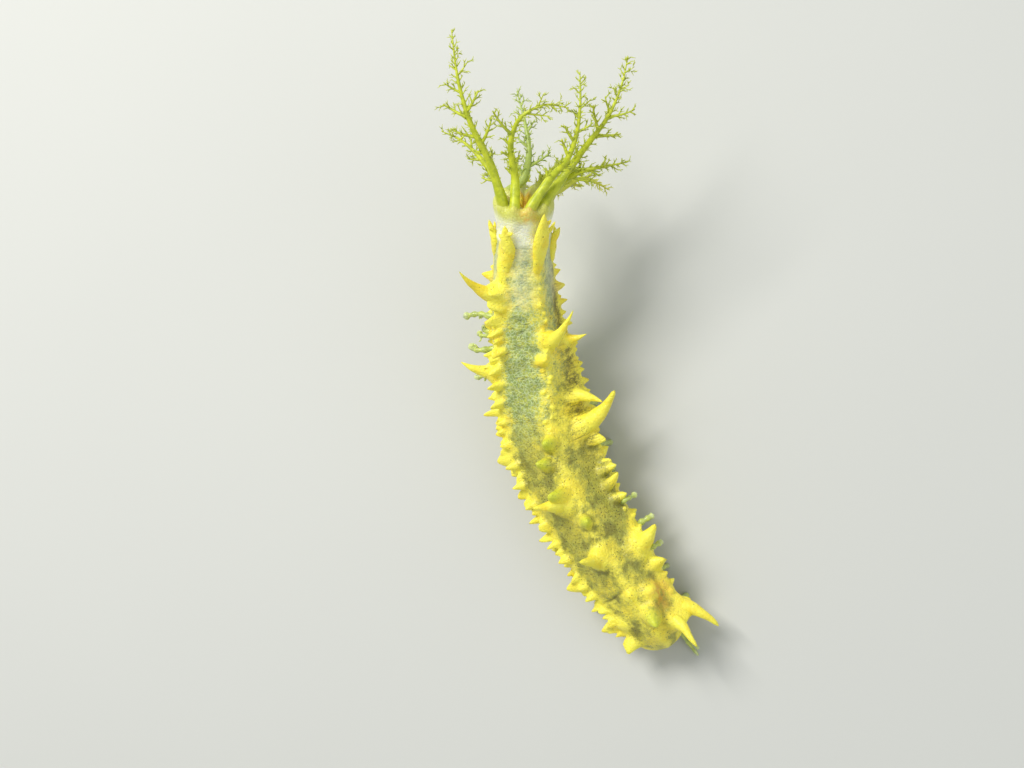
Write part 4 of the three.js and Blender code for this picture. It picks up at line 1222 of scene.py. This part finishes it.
def foot_stalks():
    """Every foot, fork and strand as (path, radii). Radii follow the table of a foot's girth, with a sine
    of ring-like swellings. The forks of a hanging foot of the left side leave it to either side in turn."""
    s = np.linspace(0, 1, FOOT_STEPS)
    stalks = []
    for number, (row, first, last, many, radius) in enumerate(FOOT_FILES):
        for i in range(many):
            n = 1000 + 100 * number + i
            t = first + (last - first) * (i + 0.5 * vary(n)) / many
            tucked = row == "right_side" and i not in (2, 3, 4)
            off = (8 if i % 2 else -7) + 5 * (vary(n + 0.4) - 0.5) + TUCKED * tucked
            reach = 0.7 + 0.6 * vary(n + 0.7)
            point, out, _, round_ = skin_at(t, row_angle(row, t) + off)
            aside = unit(out * np.array([1, 1, 0]))
            stands = tucked or point[2] < STANDS_BELOW and out[2] <= STANDS_OUT
            if stands:
                spread = WIDE_SPREAD if row == "left_side" and i % 3 == 0 else FOOT_SPREAD[row]
                stops = standing_foot(point, out, aside, spread * reach)
            else:
                length = LOOSE_FOOT[row] * reach * (1 if number < 3 else 0.75)
                stops = hanging_foot(point, out, aside, length, round_ * 1.6 * (vary(n + 0.2) - 0.5))
            swell = (0.1 if stands else 0.22) * np.sin(s * (22 + 9 * vary(n + 0.5)) + n)
            girth = np.interp(s, *FOOT_GIRTH) * (1 + swell * smooth(s, 0.15, 0.4))
            girth = radius * girth * (0.85 + 0.3 * vary(n + 0.1))
            path = curve_through(stops, FOOT_STEPS)
            stalks.append((path, girth))
            for fork in () if stands or row != "left_side" else (1, 2, 3):
                at = 6 + 4 * fork + int(2 * vary(n + fork))
                way = unit(path[at + 1] - path[at])
                aim = unit(way + (1 - 2 * (fork % 2)) * 1.1 * unit(np.cross(way, out)))
                fork_length = (0.5 + 0.5 * vary(n + 0.3 * fork)) * (1.5 - 0.25 * fork)
                bow = 0.12 * out * np.sin(6 * s)[:, None]
                stalks.append((path[at] + aim * (s * fork_length)[:, None] + bow,
                               0.55 * girth[at] * (1.1 - 0.5 * s) * (1 + 0.2 * np.sin(20 * s + n))))
    for number, (t, angle, length, back, aside) in enumerate(STRANDS):
        point, out, forward, round_ = skin_at(t, angle)
        way = unit(aside * out - back * forward)
        stops = np.array([point - 0.5 * out, point + 0.1 * out, point + 0.5 * length * way + 0.2 * round_,
                          point + length * way - 0.1 * round_])
        stops[:, 2] = np.maximum(stops[:, 2] - (0, 0, 0.3 * length, 0.6 * length), 0.3)
        girth = 0.27 * (1.1 - 0.45 * s) * (1 + 0.18 * np.sin(22 * s + number))
        stalks.append((curve_through(stops, FOOT_STEPS), girth))
    return stalks


class SEACUCUMBER_OT_feet(Operator):
    """Tube feet that stand on the floor or hang free"""

    bl_idname = "sea_cucumber.feet"
    bl_label = "Tube feet"

    def execute(self, context):
        settings = context.scene.sea_cucumber.feet
        stalks = foot_stalks()
        points, quads, triangles = tubes(np.array([path for path, _ in stalks]),
                                         np.array([girth for _, girth in stalks]), settings.sides)
        points[:, 2] = np.maximum(points[:, 2], 0.0)
        far = per_point(np.linspace(0, 1, FOOT_STEPS), settings.sides, len(stalks))
        make_piece("tube_feet", points, quads, triangles, {"end": smooth(far, 0.8, 0.95)},
                   foot_material(settings), "skin")
        return {"FINISHED"}


# Tentacles

def tentacle_stalks(name, settings):
    """Every stalk of a tentacle as (path, radii, fineness): the trunk, its side branches, their twigs and
    the twiglets at the ends. A branch leaves its parent at about 55 degrees and bends towards the parent's
    way."""
    seat, line, branches = TENTACLES[name]
    seed = 3000 * (1 + list(TENTACLES).index(name))
    a = math.radians(seat)
    foot = np.array([SEAT_HEIGHT, SEAT_RING * math.sin(a), SEAT_RING * math.cos(a)])
    inner = crown_points([foot * (0, 0.78, 0.78) + (2.9, 0, 0)])
    stops = [foot, foot * (1, 1.1, 1.1) + (1.3, 0, 0), *line]
    trunk = np.concatenate([inner, curve_through(crown_points(stops), STALK_STEPS["trunk"])])
    s = np.linspace(0, 1, len(trunk))
    girth = settings.root_radius * (1 - s) ** 1.2 + TIP_RADIUS
    girth = girth * (1 + 0.12 * bell(s, 0.09)) * (1 + 0.05 * np.sin(40 * s + seed))
    length = np.linalg.norm(np.diff(trunk, axis=0), axis=1).sum()
    stalks = {"trunk": [(trunk, girth, 0.0)], "branch": [], "twig": [], "twiglet": []}

    def way_at(parent, at):
        """The parent's direction at one of its points."""
        return unit(parent[min(at + 1, len(parent) - 1)] - parent[max(at - 1, 0)])

    def round_about(parent, at, turn):
        """A direction square to the parent there, turned from the crown's back towards the right."""
        way = way_at(parent, at)
        up = unit(CROWN_BACK - way * (CROWN_BACK @ way))
        return up * math.cos(turn) + np.cross(way, up) * math.sin(turn)

    def sprout(parent, at, turn, reach, thick, kind, fineness):
        """A stalk from a parent's point, first square to it and then along it."""
        way, aim = way_at(parent, at), round_about(parent, at, turn)
        start = unit(0.85 * aim + 0.6 * way)
        end = unit(0.7 * aim + 0.9 * way)
        f = np.linspace(0, 1, STALK_STEPS[kind])[:, None]
        path = parent[at] + reach * (start * f * (1 - 0.5 * f) + end * f * f * 0.5)
        wobble = np.sin(f * (5 + 2 * vary(seed + at)) + at) * f * 0.05 * reach
        path = path + wobble * np.cross(aim, way)
        stalks[kind].append((path, thick * (1 - 0.62 * f[:, 0] ** 1.2), fineness))
        return path

    def twigs_on(parent, reach, thick, number, first, longest):
        """Twigs alternate along a parent and shorten towards its end, each with its own twiglets."""
        many = max(2, int(reach * (1 - first) / settings.twig_spacing))
        for k in range(many):
            n = seed + 97 * number + k
            share = first + (1 - first) * (k + 0.5 + 0.5 * (vary(n) - 0.5)) / many
            at = int(share * (len(parent) - 1))
            turn = math.pi * (k % 2) + math.pi / 2 + 1.9 * (vary(n + 0.3) - 0.5)
            size = min(longest, 0.3 * reach + 0.5) * (1.1 - 0.55 * share) * (0.65 + 0.6 * vary(n + 0.6))
            path = sprout(parent, at, turn, size, min(thick * 0.6, 0.12), "twig", 0.6)
            for j in range(2 + int(2.6 * vary(n + 0.8))):
                m = n + 0.17 * (j + 1)
                spot = min(6, 2 + int(4.6 * vary(m)))
                sprout(path, spot, 2 * math.pi * vary(m + 0.4), 0.3 + 0.36 * vary(m + 0.7), TWIGLET_RADIUS,
                       "twiglet", 1.0)

    for number, (share, turn, reach) in enumerate(branches):
        at = int(share * (len(trunk) - 1))
        thick = min(0.24, 0.75 * girth[at])
        path = sprout(trunk, at, math.radians(turn), reach, thick, "branch", 0.3)
        twigs_on(path, reach, thick, number + 1, 0.25, settings.twig_length)
    twigs_on(trunk, length, 0.2, 40, 0.3, 1.25)
    return stalks


class SEACUCUMBER_OT_tentacles(Operator):
    """Ten tentacles with branches, twigs and twiglets"""

    bl_idname = "sea_cucumber.tentacles"
    bl_label = "Tentacles"

    def execute(self, context):
        settings = context.scene.sea_cucumber.tentacles
        material = tentacle_material(settings)
        for name in TENTACLES:
            parts, quads, triangles, fine = [], [], [], []
            shift = 0
            for kind, stalks in tentacle_stalks(name, settings).items():
                sides = STALK_SIDES[kind]
                paths = np.array([path for path, _, _ in stalks])
                points, four, three = tubes(paths, np.array([radii for _, radii, _ in stalks]), sides)
                share = np.linspace(0, 1, paths.shape[1])
                grade = np.array([fineness for _, _, fineness in stalks])[:, None] + 0.3 * share[None]
                grade = np.repeat(grade, sides, axis=1)
                fine.append(np.concatenate([grade, grade[:, :1], grade[:, -1:]], 1).ravel())
                parts.append(points)
                quads.append(four + shift)
                triangles.append(three + shift)
                shift += len(points)
            points = np.concatenate(parts)
            high = (points - RIM) @ CROWN_FORWARD
            marks = {
                "fine": np.clip(np.concatenate(fine), 0, 1),
                "foot": 0.85 * smooth(high, 6.8, 4.2),
                "milk": 0.9 * smooth(high, 6.3, 4.6),
                "pale": np.full(len(points), 0.9 if name == PALE_TENTACLE else 0.0),
            }
            grid = points, np.concatenate(quads), np.concatenate(triangles)
            make_piece(name + "_flesh", *grid, marks, material, "tentacle", name)
        return {"FINISHED"}


class SEACUCUMBER_OT_stage(Operator):
    """The floor, the lights and the camera"""

    bl_idname = "sea_cucumber.stage"
    bl_label = "Stage"

    def execute(self, context):
        settings = context.scene.sea_cucumber.stage
        mesh = bpy.data.meshes.new("floor")
        corners = [(x * FLOOR_HALF, y * FLOOR_HALF, 0) for x, y in ((-1, -1), (1, -1), (1, 1), (-1, 1))]
        mesh.from_pydata(corners, [], [(0, 1, 2, 3)])
        mesh.materials.append(floor_material(settings.floor))
        floor = bpy.data.objects.new("floor", mesh)
        context.scene.collection.objects.link(floor)
        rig.stage(floor)

        world = bpy.data.worlds.new("soft_light")
        world.use_nodes = True
        sky = world.node_tree.nodes["Background"]
        sky.inputs["Color"].default_value = SKY
        sky.inputs["Strength"].default_value = SKY_STRENGTH
        context.scene.world = world
        context.scene.view_settings.view_transform = "Standard"

        for name, place, size, tint in LIGHTS:
            light = bpy.data.lights.new(name, "AREA")
            light.size, light.energy, light.color = size, getattr(settings, name), tint
            lamp = bpy.data.objects.new(name, light)
            context.scene.collection.objects.link(lamp)
            aim = unit(np.array(place, float) - LIT_POINT)
            side = unit(np.cross((0, 0, 1), aim))
            turn = np.stack([side, np.cross(aim, side), aim], 1)
            lamp.matrix_world = Matrix.Translation(np.array(place) * MM) @ Matrix(turn.tolist()).to_4x4()

        back = np.array([math.cos(settings.elevation), 0, math.sin(settings.elevation)])
        up = np.array([0, 1.0, 0])
        place = (CAMERA_TARGET + CAMERA_DISTANCE * back - MIDDLE) * MM
        camera = bpy.data.objects.new("camera", bpy.data.cameras.new("camera"))
        camera.data.lens, camera.data.sensor_width = CAMERA_LENS, SENSOR
        camera.data.clip_start, camera.data.clip_end = 0.01, 10.0
        context.scene.collection.objects.link(camera)
        turn = np.stack([np.cross(up, back), up, back], 1)
        camera.matrix_world = Matrix.Translation(place) @ Matrix(turn.tolist()).to_4x4()
        context.scene.camera = camera
        return {"FINISHED"}


class SEACUCUMBER_PT_sidebar(Panel):
    """Buttons and settings for each piece"""

    bl_label = "Sea cucumber"
    bl_space_type = "VIEW_3D"
    bl_region_type = "UI"
    bl_category = "Sea cucumber"

    def draw(self, context):
        settings = context.scene.sea_cucumber
        for operator, group in (
            (SEACUCUMBER_OT_stage, settings.stage),
            (SEACUCUMBER_OT_skin, settings.skin),
            (SEACUCUMBER_OT_horns, None),
            (SEACUCUMBER_OT_valves, None),
            (SEACUCUMBER_OT_feet, settings.feet),
            (SEACUCUMBER_OT_tentacles, settings.tentacles),
        ):
            box = self.layout.box()
            box.operator(operator.bl_idname)
            for key in group.bl_rna.properties.keys() if group else ():
                if key not in {"rna_type", "name"}:
                    box.prop(group, key)


CLASSES = (
    SkinSettings, FootSettings, TentacleSettings, StageSettings, AnimalSettings, SEACUCUMBER_OT_stage,
    SEACUCUMBER_OT_skin, SEACUCUMBER_OT_horns, SEACUCUMBER_OT_valves, SEACUCUMBER_OT_feet,
    SEACUCUMBER_OT_tentacles, SEACUCUMBER_PT_sidebar,
)


def register():
    """Adds the classes and the scene's settings."""
    for item in CLASSES:
        bpy.utils.register_class(item)
    bpy.types.Scene.sea_cucumber = PointerProperty(type=AnimalSettings)


def unregister():
    """Removes the scene's settings and the classes."""
    del bpy.types.Scene.sea_cucumber
    for item in reversed(CLASSES):
        bpy.utils.unregister_class(item)


def main():
    """Builds the stage and the animal, and writes the box before and after."""
    register()
    bpy.ops.sea_cucumber.stage()
    bpy.ops.sea_cucumber.skin()
    bpy.ops.sea_cucumber.horns()
    bpy.ops.sea_cucumber.valves()
    bpy.ops.sea_cucumber.feet()
    bpy.ops.sea_cucumber.tentacles()
    with open("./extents.json", "w") as file:
        json.dump({"cad": [list(v) for v in CAD_BOX], "visual": [list(v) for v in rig.bounds()]}, file)


if __name__ == "__main__":
    main()
